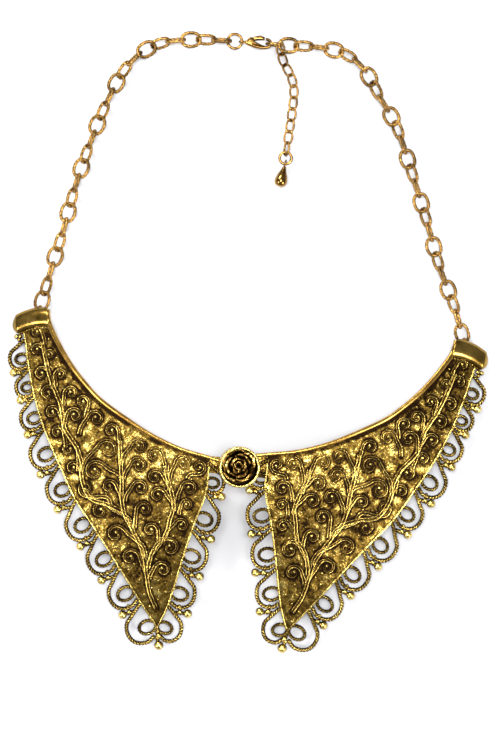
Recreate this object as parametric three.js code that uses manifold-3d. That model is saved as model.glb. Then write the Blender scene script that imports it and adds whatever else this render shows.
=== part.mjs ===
// Bib necklace: two cast collar wings joined by a rosette, with cable chains, a lobster clasp
// and an extender chain that ends in a drop. It lies on a table as seen from above.
// Millimetres and degrees, +Z up. The origin is on the table under the middle of the necklace.

import * as THREE from 'three';
import { mergeVertices } from 'three/addons/utils/BufferGeometryUtils.js';
import Module from 'manifold-3d';

const wasm = await Module();
wasm.setup();

// Wing sizes
const wingSpan = 80; // from the rosette's middle out to the smooth end
const wingDrop = 60; // from the rosette's middle down to the wing's tip
const crownRise = 15; // height of the bib's crown over the wing's outer end
const sideFall = 15; // how far the plate falls from the crown over one span
const frontFall = 7.8; // how far it falls over one drop
const plateThickness = 1.0;
const rimWidthAtEnd = 2.1; // the rim along the neckline, at the smooth end
const rimWidthAtRosette = 1.3;
const rimHeight = 1.1;
const rimWallDepth = 0.6; // how far the rim's wall reaches below the plate
const borderWidth = 0.7; // the thin raised border along the outer edge
const borderFoot = 0.2; // the slope on the border's inner side
const borderHeight = 0.4;
const smoothEndRise = 0.7; // the smooth end stands this far over the ground of the relief
const smoothEndBevel = 0.5;

// Lace sizes
const laceWidth = 1.5;
const laceRise = 0.35;
const laceDepth = 1.15;
const laceSeat = 0.5; // the scallops reach this far into the plate's edge
const laceBallRadius = 1.7;
const tipBallRadius = 1.8;
const innerLaceReach = 0.85; // the inner scallops reach this share of the outer ones

// Relief sizes
const vineWidth = 1.5;
const vineHeight = 0.6;
const vineSeat = 0.24; // how deep the vines stand in the ground
const curlTurn = 240; // degrees a scroll's head winds
const curlSteps = 5;
const curlEnd = 0.45; // the curl's last radius as a share of its first
const bendPull = 0.4; // how far a scroll keeps its first heading, as a share of its stalk

// How the right wing lies: the mirrored design, turned about a point of its own, then slid
const rightTurn = -2.8;
const rightPivot = [52, -5];
const rightSlide = [0, 0.6];

// Rosette, tabs and rivet
const cupRadius = 7.1;
const cupHeight = 5;
const cupWall = 0.9;
const cupTilt = 9;
const cupFloor = 0.3; // the cup's inner floor, as a share of its height
const petalThickness = 0.45; // half of it
const tabRadius = 2.9;
const tabThickness = 0.9;
const tabSink = 0.1; // the upper tab lies this much lower than the plate's ground
const tabStepLength = 2; // the step that leads from the plate down to the under tab
const tabStepSeat = 0.4; // how far that step reaches into the plate
const rivetRadius = 1.1;
const rivetReach = 1; // how far the rivet stands up into the cup
const rivetHeadRadius = 2.4;
const rivetHeadThickness = 0.8;
const tabFall = 0.7; // how much lower the under tab lies at the edge of the rivet's head

// Chains, rings and loops
const linkPitch = 5.3;
const linkWire = 1.0;
const linkWidth = 6.3;
const linkSeat = 0.16; // how far two linked wires sink into each other
const linkRolls = [0, 58, 98]; // flat, half tilted, on edge
const chainHeight = 3.45;
const smallLinkPitch = 3.9;
const smallLinkWire = 0.8;
const smallLinkWidth = 4.2;
const smallLinkRolls = [-45, 45];
const lastSmallRoll = 60;
const smallChainHeight = 1.95;
const endLoopRadius = 1.2;
const endLoopWire = 0.35;
const endLoopSink = 0.45; // how far the loop's wire is soldered into the smooth end
const claspRingRadius = 2.75;
const ringWire = 0.45;
const hookRingRadius = 2.95;
const dropRingRadius = 2.1;
const dropRingWire = 0.4;
const hookRingLean = -45; // where on the hook ring the extender hangs

// Clasp sizes, in its own frame: its eye at the origin, its nose along +X
const claspThickness = 2.2;
const cheekThickness = 2.5;
const leverThickness = 0.9;
const claspBar = 0.9;
const neckWidth = 1.3;
const pinRadius = 0.4;
const pinPlay = 0.25; // between the pin and the lever's hole
const slotPlay = 0.1; // the lever's slot is this much wider than its cheeks
const leverEndRadius = 1.05;
const leverPivot = [2.9, 0.4];
const hookedWire = [8.35, -0.1]; // where the hook ring's wire lies in the hook
const hookPath = [
  [2.1, -0.55], [3.4, -1], [5.4, -1.45], [7.7, -1.5], [9.2, -1.1], [9.85, -0.1], [9.5, 0.9],
  [8.5, 1.45], [8, 1.5],
];

// The lever's outline from its round end to its tip and back, counted from its pivot
const leverEndArc = [108, 333]; // degrees
const leverOutline = [
  [1.9, 0.45], [3.4, 0.85], [4.65, 0.75], [4.65, 1.65], [3.6, 1.85], [3.5, 2.45], [2.9, 2.45],
  [2.8, 1.75], [1.5, 1.4],
];

// Drop sizes
const dropLength = 7.2;
const dropRadius = 2.2;
const dropProfile = [ // shares of the radius and of the length
  [0, 0], [0.28, 0], [0.44, 0.16], [0.66, 0.32], [0.9, 0.52], [1, 0.7], [0.9, 0.86],
  [0.55, 0.96], [0, 1],
];

const clearance = 0.3; // between pieces that turn or rest on each other
const loopClearance = 0.45; // between a ring's wire and the foot of the loop it hangs in

const meshSlack = 0.005; // a corner within this distance of its neighbours' plane is left out

// How many sides the round forms have
const ballSides = 5;
const cupSides = 14;
const dropSides = 12;
const rivetSides = 10;
const pinSides = 12;
const ringSteps = 12;

// Points and lengths on the wing are counted in these parts of its span and its drop
const spanParts = 80;
const dropParts = 60;

// The wing's edges, as columns: across, down
const necklinePoints = [
  [-69.3, 49.6], [-68.3, 45], [-65.6, 40], [-62.4, 35], [-58.8, 30.2], [-54, 25],
  [-48.9, 20.3], [-38.5, 13.8], [-30, 9.2], [-20, 5.3], [-9.8, 3],
];
const outerEdgePoints = [
  [-78.5, 43], [-77.2, 38.5], [-74.9, 28.3], [-72.3, 19], [-68.1, 8.2], [-61.8, -4],
  [-55.3, -15.7], [-46.8, -26.8], [-38.5, -38.2], [-30.3, -49.8], [-23.8, -58.5],
];
const innerEdgePoints = [
  [-9.8, 3], [-10.3, -10], [-13, -19], [-15.3, -27.5], [-17.3, -36], [-20.6, -50],
  [-23.8, -58.5],
];
const smoothEndPoints = [
  [-68.3, 44.6], [-69.2, 49.7], [-72, 50], [-76, 49.2], [-80, 47.5], [-82.4, 46],
  [-82.9, 44.2], [-82, 41.6], [-79.3, 42.4], [-75.5, 43.9], [-71.5, 44.7],
];
const endLoopPoint = [-72.9, 49.2];
const tipWebPoint = [-23.6, -62.5];
const tipBallPoint = [-23, -65];
const tipRoot = 0.99; // where the tip's web leaves the plate, as a share of the outer edge
const tabRoot = -11.6; // where the tabs leave the plate, across

// The rim's section, as shares of its width and height, from the neckline inwards
const rimProfile = [[0, -0.3], [0.2, 0.8], [0.6, 1], [1, 0]];

// Where scallops start, as shares of the edge's length
const outerScallopStarts = [0.04, 0.13, 0.213, 0.312, 0.43, 0.544, 0.664, 0.785, 0.907];
const innerScallopStarts = [0, 0.205, 0.42, 0.64, 0.86];

// One scallop, in shares of its pitch, as columns: along the edge, out from it
const scallopPath = [
  [0, 0], [0.15, 0.38], [0.36, 0.63], [0.65, 0.66], [0.88, 0.46], [0.92, 0.17], [0.74, 0.02],
  [0.5, 0.1], [0.52, 0.33], [0.73, 0.34],
];
const scallopBall = { along: 0.98, out: 0.53 };

// The vines' main stems, as columns: across, down
const stems = [
  [[-24.6, -52.5], [-28.4, -42], [-30.3, -33], [-37.5, -20], [-39.4, -9], [-41, 6]],
  [[-28.9, -38.5], [-26, -29], [-21.3, -18], [-22.3, -10.5], [-24.3, -1]],
  [[-37, -20.5], [-51, -14.5], [-55, -5], [-61, 9], [-64.5, 20], [-70, 35]],
];

// The largest scrolls that leave the stems, as columns:
// start across, start down, heading, head across, head down, head radius, turn
const scrolls = [
  [-28.6, -42, 97, -35.2, -34.3, 2.4, 1],
  [-34.8, -25, 120, -46.3, -19.1, 2.6, 1],
  [-39.3, -10, 100, -49.3, -5.5, 3.1, 1],
  [-54, -7, 90, -45, 2.5, 2.9, -1],
  [-62.3, 14, 100, -68, 20.1, 2.4, 1],
];

// The rose's rounds of petals: their number, first heading, half width, half height,
// distance from the middle as a share of the cup's radius, lean, lift as a share of its height
const petalRounds = [
  { count: 5, first: 0, width: 2.5, height: 1.8, distance: 0.5, lean: 38, lift: 0.52 },
  { count: 3, first: 30, width: 1.7, height: 2.2, distance: 0.24, lean: 22, lift: 0.55 },
  { count: 1, first: 0, width: 0.9, height: 2.6, distance: 0, lean: 0, lift: 0.55 },
];

// The chains' routes on the table, between the loops and rings that end them
const leftChainRoute = [
  [-70.2, 62.5], [-67, 76], [-64, 91.5], [-60, 107], [-55, 122.5], [-50, 134], [-45, 140.5],
  [-37.5, 145], [-26, 147],
];
const rightChainRoute = [
  [20.5, 147.3], [28, 145.5], [34.5, 140.3], [40, 131.5], [46, 123], [51.5, 110],
  [56.5, 97.5], [61, 85.5], [65.5, 73], [70.5, 62.5],
];
const extenderRoute = [
  [4.4, 144.3], [6, 140.8], [8.2, 137.6], [9.8, 133.8], [9.7, 122], [9.2, 116],
];
const claspRingPoint = [-11.9, 147.4];
const extenderEndPoint = [8.75, 109.5];
const dropTurn = -100; // the way the drop points on the table

// Colours from the photograph
const antiqueGold = 0x8f7434;
const darkGold = 0x6b5426;
const polishedGold = 0xc99b4e;

const up = new THREE.Vector3(0, 0, 1);

// Solids and meshes

function solidFrom(geometry) {
  const bare = geometry.clone();
  bare.deleteAttribute('normal');
  bare.deleteAttribute('uv');
  const merged = mergeVertices(bare, 1e-4);
  const corners = new Uint32Array(merged.index.array);
  const vertProperties = new Float32Array(merged.attributes.position.array);
  const solid = new wasm.Manifold(new wasm.Mesh({ numProp: 3, vertProperties, triVerts: corners }));
  if (solid.volume() > 0) return solid;
  for (let i = 0; i < corners.length; i += 3) {
    [corners[i + 1], corners[i + 2]] = [corners[i + 2], corners[i + 1]];
  }
  return new wasm.Manifold(new wasm.Mesh({ numProp: 3, vertProperties, triVerts: corners }));
}

function geometryFrom(solid) {
  const mesh = solid.simplify(meshSlack).getMesh();
  const geometry = new THREE.BufferGeometry();
  geometry.setAttribute('position', new THREE.BufferAttribute(new Float32Array(mesh.vertProperties), 3));
  geometry.setIndex(new THREE.BufferAttribute(new Uint32Array(mesh.triVerts), 1));
  return geometry;
}

function fused(geometries) {
  return geometries.map(solidFrom).reduce((whole, piece) => whole.add(piece));
}

function mirrored(geometry) {
  const turned = geometry.clone().scale(-1, 1, 1);
  const corners = turned.index.array;
  for (let i = 0; i < corners.length; i += 3) {
    [corners[i + 1], corners[i + 2]] = [corners[i + 2], corners[i + 1]];
  }
  return turned;
}

function namedMesh(name, geometry, color, roughness) {
  const shown = geometry.index ? geometry.toNonIndexed() : geometry.clone();
  shown.computeVertexNormals();
  const material = new THREE.MeshStandardMaterial({ color, roughness, metalness: 1 });
  const mesh = new THREE.Mesh(shown, material);
  mesh.name = name;
  return mesh;
}

// A closed skin over loops that all have the same number of points
function skin(loops, joinsItself, endFaces) {
  const size = loops[0].length;
  const corners = [];
  const spans = joinsItself ? loops.length : loops.length - 1;
  for (let i = 0; i < spans; i += 1) {
    const here = i * size;
    const next = ((i + 1) % loops.length) * size;
    for (let j = 0; j < size; j += 1) {
      const k = (j + 1) % size;
      corners.push(here + j, here + k, next + k, here + j, next + k, next + j);
    }
  }
  if (!joinsItself) {
    const last = (loops.length - 1) * size;
    for (const [a, b, c] of endFaces) {
      corners.push(a, c, b, last + a, last + b, last + c);
    }
  }
  const geometry = new THREE.BufferGeometry().setFromPoints(loops.flat());
  geometry.setIndex(corners);
  return geometry;
}

function fanFaces(size) {
  return Array.from({ length: size - 2 }, (_, j) => [0, j + 1, j + 2]);
}

function directionAt(path, i, joinsItself) {
  const last = path.length - 1;
  const before = joinsItself ? path[(i + last) % path.length] : path[Math.max(i - 1, 0)];
  const after = joinsItself ? path[(i + 1) % path.length] : path[Math.min(i + 1, last)];
  return after.clone().sub(before).normalize();
}

// A bar along a path: its profile has columns left of the path, up from it
function bar(path, profile, { joinsItself = false, upward = up } = {}) {
  const loops = path.map((point, i) => {
    const left = upward.clone().cross(directionAt(path, i, joinsItself)).normalize();
    return profile.map(([side, rise]) => point.clone()
      .addScaledVector(left, side)
      .addScaledVector(upward, rise));
  });
  return skin(loops, joinsItself, fanFaces(profile.length));
}

function roundProfile(radius, sides) {
  return Array.from({ length: sides }, (_, i) => {
    const angle = (2 * Math.PI * i) / sides;
    return [radius * Math.cos(angle), radius * Math.sin(angle)];
  });
}

function ridgeProfile(width, low, high) {
  return [[-width / 2, low], [width / 2, low], [0, high]];
}

function boxProfile(width, low, high) {
  return [[-width / 2, low], [width / 2, low], [width / 2, high], [-width / 2, high]];
}

// An oval ring of wire; halfLength and halfWidth reach the middle of the wire
function ovalRing({ centre, along, across, halfLength, halfWidth, wire, sides = 5, steps = 10 }) {
  const reach = halfLength / Math.cos(Math.PI / steps);
  const path = Array.from({ length: steps }, (_, i) => {
    const angle = (2 * Math.PI * (i + 0.5)) / steps;
    return centre.clone()
      .addScaledVector(along, reach * Math.cos(angle))
      .addScaledVector(across, halfWidth * Math.sin(angle));
  });
  const upward = along.clone().cross(across).normalize();
  return bar(path, roundProfile(wire, sides), { joinsItself: true, upward });
}

// The wing's places and heights

function drawn([across, down]) {
  return new THREE.Vector3((across * wingSpan) / spanParts, (down * wingDrop) / dropParts, 0);
}

const crownDown = wingDrop / 3; // the crown lies above the rosette, inside the neckline

function domeHeight(x, y) {
  return crownRise - sideFall * (x / wingSpan) ** 2 - frontFall * ((y - crownDown) / wingDrop) ** 2;
}

function onDome(point, lift = 0) {
  return new THREE.Vector3(point.x, point.y, domeHeight(point.x, point.y) + lift);
}

function bent(geometry) {
  const position = geometry.attributes.position;
  for (let i = 0; i < position.count; i += 1) {
    const rise = domeHeight(position.getX(i), position.getY(i));
    position.setZ(i, position.getZ(i) + rise);
  }
  return geometry;
}

function edgeCurve(points) {
  return new THREE.CatmullRomCurve3(points.map(drawn), false, 'centripetal');
}

const neckline = edgeCurve(necklinePoints);
const outerEdge = edgeCurve(outerEdgePoints);
const innerEdge = edgeCurve(innerEdgePoints);

// The plate is a skin over sections that run from the neckline to the outer edge
const sectionShares = [0, 0.09, 0.18, 0.27, 0.36, 0.45, 0.54, 0.63, 0.72, 0.81, 0.91, 1];
const groundShares = [0.3, 0.65];
const bottomShares = [0.5];
const innerBow = 6; // how quickly the bow of the inner edge fades away from it

function sectionPoint(share, reach) {
  const top = neckline.getPointAt(share);
  const foot = outerEdge.getPointAt(share);
  const straight = top.clone().lerp(foot, reach);
  const first = neckline.getPointAt(1);
  const last = outerEdge.getPointAt(1);
  const bow = innerEdge.getPointAt(reach).sub(first.clone().lerp(last, reach));
  return straight.addScaledVector(bow, share ** innerBow);
}

function sectionProfile(share) {
  const length = sectionPoint(share, 0).distanceTo(sectionPoint(share, 1));
  const rim = THREE.MathUtils.lerp(rimWidthAtEnd, rimWidthAtRosette, share);
  const ground = length - rim - borderWidth - borderFoot;
  const profile = rimProfile.map(([across, lifted]) => [across * rim, lifted * rimHeight]);
  groundShares.forEach((part) => profile.push([rim + ground * part, 0]));
  profile.push([rim + ground, 0]);
  profile.push([length - borderWidth, borderHeight]);
  profile.push([length, borderHeight]);
  profile.push([length, -plateThickness]);
  bottomShares.forEach((part) => profile.push([length * part, -plateThickness]));
  profile.push([0, -plateThickness - rimWallDepth]);
  return profile.map(([distance, lifted]) => [distance / length, lifted]);
}

function plate() {
  const loops = sectionShares.map((share) => sectionProfile(share)
    .map(([reach, lift]) => onDome(sectionPoint(share, reach), lift)));
  const outline = sectionProfile(0).map(([reach, lift]) => new THREE.Vector2(reach * 10, lift));
  const faces = THREE.ShapeUtils.triangulateShape(outline, []).map(([a, b, c]) => {
    const one = outline[b].clone().sub(outline[a]);
    const two = outline[c].clone().sub(outline[a]);
    return one.cross(two) < 0 ? [a, b, c] : [a, c, b];
  });
  return skin(loops, false, faces);
}

// The lace

const laceProfile = ridgeProfile(laceWidth, -laceDepth, laceRise);

function ball(centre, radius) {
  const geometry = new THREE.SphereGeometry(radius, ballSides, 3);
  geometry.rotateX(Math.PI / 2);
  return geometry.translate(centre.x, centre.y, centre.z);
}

// One scallop from start to end, with outward on its free side
function scallop(start, end, side, reach, isLast) {
  const pitch = start.distanceTo(end);
  const along = end.clone().sub(start).normalize();
  const outward = new THREE.Vector3(along.y, -along.x, 0).multiplyScalar(side);
  const place = (u, v) => start.clone()
    .addScaledVector(along, u * pitch)
    .addScaledVector(outward, v * pitch * reach - laceSeat);
  const path = scallopPath.map(([u, v]) => onDome(place(u, v)));
  const pieces = [bar(path, laceProfile)];
  if (!isLast) {
    pieces.push(ball(onDome(place(scallopBall.along, scallopBall.out)), laceBallRadius));
  }
  return pieces;
}

function lace() {
  const tipWeb = drawn(tipWebPoint);
  const outerStarts = outerScallopStarts.map((share) => outerEdge.getPointAt(share));
  const innerStarts = innerScallopStarts.map((share) => innerEdge.getPointAt(share));
  const pieces = [];
  [[outerStarts, 1, 1], [innerStarts, -1, innerLaceReach]].forEach(([starts, side, reach]) => {
    [...starts, tipWeb].slice(1).forEach((end, i) => {
      pieces.push(...scallop(starts[i], end, side, reach, end === tipWeb));
    });
  });
  const tipBall = onDome(drawn(tipBallPoint));
  const web = [onDome(outerEdge.getPointAt(tipRoot)), onDome(tipWeb), tipBall];
  pieces.push(bar(web, laceProfile), ball(tipBall, tipBallRadius));
  return pieces;
}

// The relief

const vineProfile = ridgeProfile(vineWidth, -vineSeat, vineHeight);

function stem(points) {
  const path = edgeCurve(points).getSpacedPoints(points.length - 1);
  return bar(path.map((point) => onDome(point)), vineProfile);
}

// A scroll leaves its start, bends round its head and winds into it
function scroll([startX, startY, heading, headX, headY, radius, turn]) {
  const start = drawn([startX, startY]);
  const head = drawn([headX, headY]);
  const size = (radius * wingSpan) / spanParts;
  const spoke = start.clone().sub(head);
  const meets = Math.atan2(spoke.y, spoke.x) + turn * Math.acos(size / spoke.length());
  const around = (angle, r) => head.clone()
    .add(new THREE.Vector3(Math.cos(angle), Math.sin(angle), 0).multiplyScalar(r));
  const touch = around(meets, size);
  const arriving = new THREE.Vector3(-Math.sin(meets), Math.cos(meets), 0).multiplyScalar(turn);
  const leaving = THREE.MathUtils.degToRad(heading);
  const pull = bendPull * start.distanceTo(touch);
  const approach = new THREE.CubicBezierCurve3(
    start,
    new THREE.Vector3(Math.cos(leaving), Math.sin(leaving), 0).multiplyScalar(pull).add(start),
    touch.clone().addScaledVector(arriving, -pull),
    touch,
  );
  const path = approach.getPoints(2);
  for (let i = 1; i <= curlSteps; i += 1) {
    const part = i / curlSteps;
    const angle = meets + turn * part * THREE.MathUtils.degToRad(curlTurn);
    path.push(around(angle, size * THREE.MathUtils.lerp(1, curlEnd, part)));
  }
  return bar(path.map((point) => onDome(point)), vineProfile);
}

// The smooth end, its hidden loop and the tab behind the rosette

function smoothEnd() {
  const outline = new THREE.Shape(smoothEndPoints.map((point) => {
    const { x, y } = drawn(point);
    return new THREE.Vector2(x, y);
  }));
  const bevel = smoothEndBevel;
  const depth = plateThickness + smoothEndRise - 2 * bevel;
  const geometry = new THREE.ExtrudeGeometry(outline, {
    depth,
    bevelSize: bevel,
    bevelOffset: -bevel,
    bevelThickness: bevel,
    bevelSegments: 1,
  });
  return bent(geometry.translate(0, 0, bevel - plateThickness));
}

const loopPlace = drawn(endLoopPoint);
const loopDepth = plateThickness + endLoopRadius + endLoopWire - endLoopSink;
const endSlope = Math.atan((2 * sideFall * -loopPlace.x) / wingSpan ** 2);
const loopCentre = onDome(loopPlace, -loopDepth);

function endLoop() {
  return ovalRing({
    centre: loopCentre,
    along: new THREE.Vector3(0, 1, 0),
    across: new THREE.Vector3(-Math.sin(endSlope), 0, Math.cos(endSlope)),
    halfLength: endLoopRadius,
    halfWidth: endLoopRadius,
    wire: endLoopWire,
  });
}

function tabPlate(rivet, bottom, top) {
  const root = drawn([tabRoot, 0]).x;
  const outline = new THREE.Shape();
  outline.moveTo(root, rivet.y + tabRadius);
  outline.lineTo(root, rivet.y - tabRadius);
  outline.lineTo(rivet.x, rivet.y - tabRadius);
  outline.absarc(rivet.x, rivet.y, tabRadius, -Math.PI / 2, Math.PI / 2, false);
  const hole = new THREE.Path();
  hole.absarc(rivet.x, rivet.y, rivetRadius + clearance, 0, 2 * Math.PI, true);
  outline.holes.push(hole);
  const options = { depth: top - bottom, bevelEnabled: false, curveSegments: 5 };
  return bent(new THREE.ExtrudeGeometry(outline, options).translate(0, 0, bottom));
}

// The tab of one wing lies flush with its plate, the other wing's tab lies under it
function tab(rivet, isUnder) {
  const drop = isUnder ? tabThickness + clearance : 0;
  const pieces = [tabPlate(rivet, -tabSink - tabThickness - drop, -tabSink - drop)];
  if (isUnder) {
    const height = tabThickness + drop;
    const step = new THREE.BoxGeometry(tabStepLength, 2 * tabRadius, height);
    const root = drawn([tabRoot, 0]).x;
    step.translate(root - tabStepSeat + tabStepLength / 2, rivet.y, -tabSink - height / 2);
    pieces.push(bent(step));
  }
  return pieces;
}

function wing(rivet, isUnder) {
  const relief = [...stems.map(stem), ...scrolls.map(scroll)];
  return geometryFrom(fused([
    plate(), ...lace(), ...relief, smoothEnd(), endLoop(), ...tab(rivet, isUnder),
  ]));
}

// Where the right wing lies, and the rivet's place in its own design

const rightAngle = THREE.MathUtils.degToRad(rightTurn);

function turnedBy(angle, [x, y]) {
  return [x * Math.cos(angle) - y * Math.sin(angle), x * Math.sin(angle) + y * Math.cos(angle)];
}

const turnedPivot = turnedBy(rightAngle, rightPivot);
const rightPlace = [0, 1].map((i) => rightPivot[i] - turnedPivot[i] + rightSlide[i]);
const rightRivet = turnedBy(-rightAngle, [-rightPlace[0], -rightPlace[1]]);

const leftWing = namedMesh('left_wing', wing(new THREE.Vector2(0, 0), false), antiqueGold, 0.35);
const rightWing = namedMesh(
  'right_wing',
  mirrored(wing(new THREE.Vector2(-rightRivet[0], rightRivet[1]), true)),
  antiqueGold,
  0.35,
);
rightWing.rotation.z = rightAngle;
rightWing.position.set(rightPlace[0], rightPlace[1], 0);
rightWing.updateMatrixWorld(true);

const bib = new THREE.Group();
bib.add(leftWing, rightWing);
const tableHeight = new THREE.Box3().setFromObject(bib).min.z;

// The rosette on its rivet

function petal({ width, height, distance, lean, lift }, turn) {
  const geometry = new THREE.SphereGeometry(1, 6, 3);
  geometry.scale(width, petalThickness, height);
  geometry.rotateX(-THREE.MathUtils.degToRad(lean));
  geometry.translate(0, distance * cupRadius, lift * cupHeight);
  return geometry.rotateZ(THREE.MathUtils.degToRad(turn));
}

function rose() {
  return petalRounds.flatMap((round) => Array.from({ length: round.count }, (_, i) => {
    const turn = round.first + (360 * i) / round.count;
    return petal(round, turn);
  }));
}

function cup() {
  const floor = cupFloor * cupHeight;
  const inner = cupRadius - cupWall;
  const profile = [
    [0, 0], [0.93 * cupRadius, 0], [cupRadius, 0.1 * cupHeight], [cupRadius, 0.9 * cupHeight],
    [cupRadius - 0.3 * cupWall, cupHeight], [inner, 0.94 * cupHeight], [0.95 * inner, floor],
    [0, floor],
  ].map(([x, y]) => new THREE.Vector2(x, y));
  return new THREE.LatheGeometry(profile, cupSides).rotateX(Math.PI / 2);
}

// A cylinder about the rosette's middle, from one height to another
function post(radius, bottom, top) {
  const geometry = new THREE.CylinderGeometry(radius, radius, top - bottom, rivetSides);
  return geometry.rotateX(Math.PI / 2).translate(0, 0, (top + bottom) / 2);
}

function rosette() {
  const tilt = THREE.MathUtils.degToRad(cupTilt);
  const baseLift = clearance + cupRadius * Math.sin(tilt);
  const head = [cup(), ...rose()].map((piece) => piece.rotateY(tilt).translate(0, 0, baseLift));
  const headTop = -tabSink - 2 * (tabThickness + clearance) - tabFall;
  const rivet = post(rivetRadius, headTop - rivetHeadThickness / 2, baseLift + rivetReach);
  const back = post(rivetHeadRadius, headTop - rivetHeadThickness, headTop);
  return geometryFrom(fused([...head, rivet, back]));
}

const rosetteMesh = namedMesh('rosette', rosette(), darkGold, 0.3);
rosetteMesh.position.z = domeHeight(0, 0);

// Chains

// The number of links whose last one has the given place in the row of rolls
function linkCount(length, pitch, rolls, lastPlace) {
  const turns = Math.round((length / pitch - 1 - lastPlace) / rolls.length);
  return turns * rolls.length + 1 + lastPlace;
}

function chain(route, { pitch, wire, width, rolls, lastPlace, firstRoll, lastRoll }) {
  const curve = new THREE.CatmullRomCurve3(route, false, 'centripetal');
  const count = linkCount(curve.getLength(), pitch, rolls, lastPlace);
  const meets = curve.getSpacedPoints(count);
  const links = [];
  for (let i = 0; i < count; i += 1) {
    const along = meets[i + 1].clone().sub(meets[i]);
    const span = along.length();
    along.normalize();
    const centre = meets[i].clone().add(meets[i + 1]).multiplyScalar(0.5);
    const endRoll = i === 0 ? firstRoll : i === count - 1 ? lastRoll : undefined;
    const roll = endRoll ?? rolls[i % rolls.length];
    const across = up.clone().cross(along).normalize();
    across.applyAxisAngle(along, THREE.MathUtils.degToRad(roll));
    links.push(ovalRing({
      centre,
      along,
      across,
      halfLength: (span + wire - linkSeat) / 2,
      halfWidth: (width - wire) / 2,
      wire: wire / 2,
    }));
  }
  return geometryFrom(fused(links));
}

function onTable([x, y], height) {
  return new THREE.Vector3(x, y, tableHeight + height);
}

// A chain's end wire lies this far beyond the point where its next link would hang
const endReach = (linkWire - linkSeat) / 2;
const smallEndReach = (smallLinkWire - linkSeat) / 2;

const leftLoop = loopCentre.clone();
const rightLoop = mirroredPoint(loopCentre).applyMatrix4(rightWing.matrixWorld);

function mirroredPoint(point) {
  return new THREE.Vector3(-point.x, point.y, point.z);
}

// The first point of a route, so that the end wire of its first link lies in a loop
function pastLoop(loop, reach) {
  return loop.clone().add(new THREE.Vector3(0, reach, 0));
}

const wireGap = linkWire / 2 + clearance + ringWire;
const leftRing = onTable(claspRingPoint, chainHeight);
const claspEye = leftRing.clone().add(new THREE.Vector3(claspRingRadius, 0, 0));
const leftChainEnd = leftRing.clone()
  .add(new THREE.Vector3(wireGap - claspRingRadius - endReach, 0, 0));
const endTilt = THREE.MathUtils.radToDeg(endSlope);

const leftChain = chain([
  pastLoop(leftLoop, endReach),
  ...leftChainRoute.map((point) => onTable(point, chainHeight)),
  leftChainEnd,
], {
  pitch: linkPitch,
  wire: linkWire,
  width: linkWidth,
  rolls: linkRolls,
  lastPlace: 2,
  firstRoll: endTilt,
});

// The hook ring stands on edge, with one wire in the clasp's hook
const hookRingCentre = claspEye.clone()
  .add(new THREE.Vector3(hookedWire[0] + hookRingRadius, hookedWire[1], 0));
const rightChainStart = hookRingCentre.clone()
  .add(new THREE.Vector3(hookRingRadius - wireGap + endReach, 0, 0));

const rightChain = chain([
  rightChainStart,
  ...rightChainRoute.map((point) => onTable(point, chainHeight)),
  pastLoop(rightLoop, endReach),
], {
  pitch: linkPitch,
  wire: linkWire,
  width: linkWidth,
  rolls: linkRolls,
  lastPlace: 0,
  lastRoll: -endTilt,
});

function ring(centre, across, radius, wire) {
  return ovalRing({
    centre,
    along: new THREE.Vector3(1, 0, 0),
    across,
    halfLength: radius,
    halfWidth: radius,
    wire,
    steps: ringSteps,
  });
}

const flatways = new THREE.Vector3(0, 1, 0);
const claspRing = ring(leftRing, flatways, claspRingRadius, ringWire);
const hookRing = ring(hookRingCentre, up, hookRingRadius, ringWire);

// The extender hangs low on the hook ring
const lean = THREE.MathUtils.degToRad(hookRingLean);
const hangRadius = hookRingRadius - clearance;
const extenderStart = hookRingCentre.clone().add(new THREE.Vector3(
  hangRadius * Math.cos(lean),
  ringWire + clearance + smallLinkWire / 2 - smallEndReach,
  hangRadius * Math.sin(lean),
));

const extenderChain = chain([
  extenderStart,
  ...extenderRoute.map((point) => onTable(point, smallChainHeight)),
  onTable(extenderEndPoint, smallChainHeight),
], {
  pitch: smallLinkPitch,
  wire: smallLinkWire,
  width: smallLinkWidth,
  rolls: smallLinkRolls,
  lastPlace: 1,
  lastRoll: lastSmallRoll,
});

const dropRingHeight = (smallChainHeight + dropRadius) / 2;
const dropRingCentre = onTable(extenderEndPoint, dropRingHeight).add(new THREE.Vector3(
  0,
  dropRingWire + clearance + smallLinkWire / 2 - smallEndReach - dropRingRadius,
  0,
));
const dropRing = ring(dropRingCentre, flatways, dropRingRadius, dropRingWire);

// The drop: a teardrop with a loop at its narrow end, in its own frame along +X
function drop() {
  const profile = dropProfile
    .map(([radius, along]) => new THREE.Vector2(radius * dropRadius, along * dropLength));
  const body = new THREE.LatheGeometry(profile, dropSides).rotateZ(-Math.PI / 2);
  const loopRadius = dropRingWire + loopClearance + endLoopWire;
  const loop = ovalRing({
    centre: new THREE.Vector3(endLoopWire / 2 - loopRadius, 0, 0),
    along: new THREE.Vector3(1, 0, 0),
    across: up,
    halfLength: loopRadius,
    halfWidth: loopRadius,
    wire: endLoopWire,
    steps: 8,
  });
  const shift = loopRadius - endLoopWire / 2;
  return geometryFrom(fused([body, loop])).translate(shift, 0, 0);
}

// The clasp

function upright(radius, height) {
  const geometry = new THREE.CylinderGeometry(radius, radius, height, pinSides).rotateX(Math.PI / 2);
  return geometry.translate(leverPivot[0], leverPivot[1], 0);
}

function points3(list) {
  return list.map(([x, y]) => new THREE.Vector3(x, y, 0));
}

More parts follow.
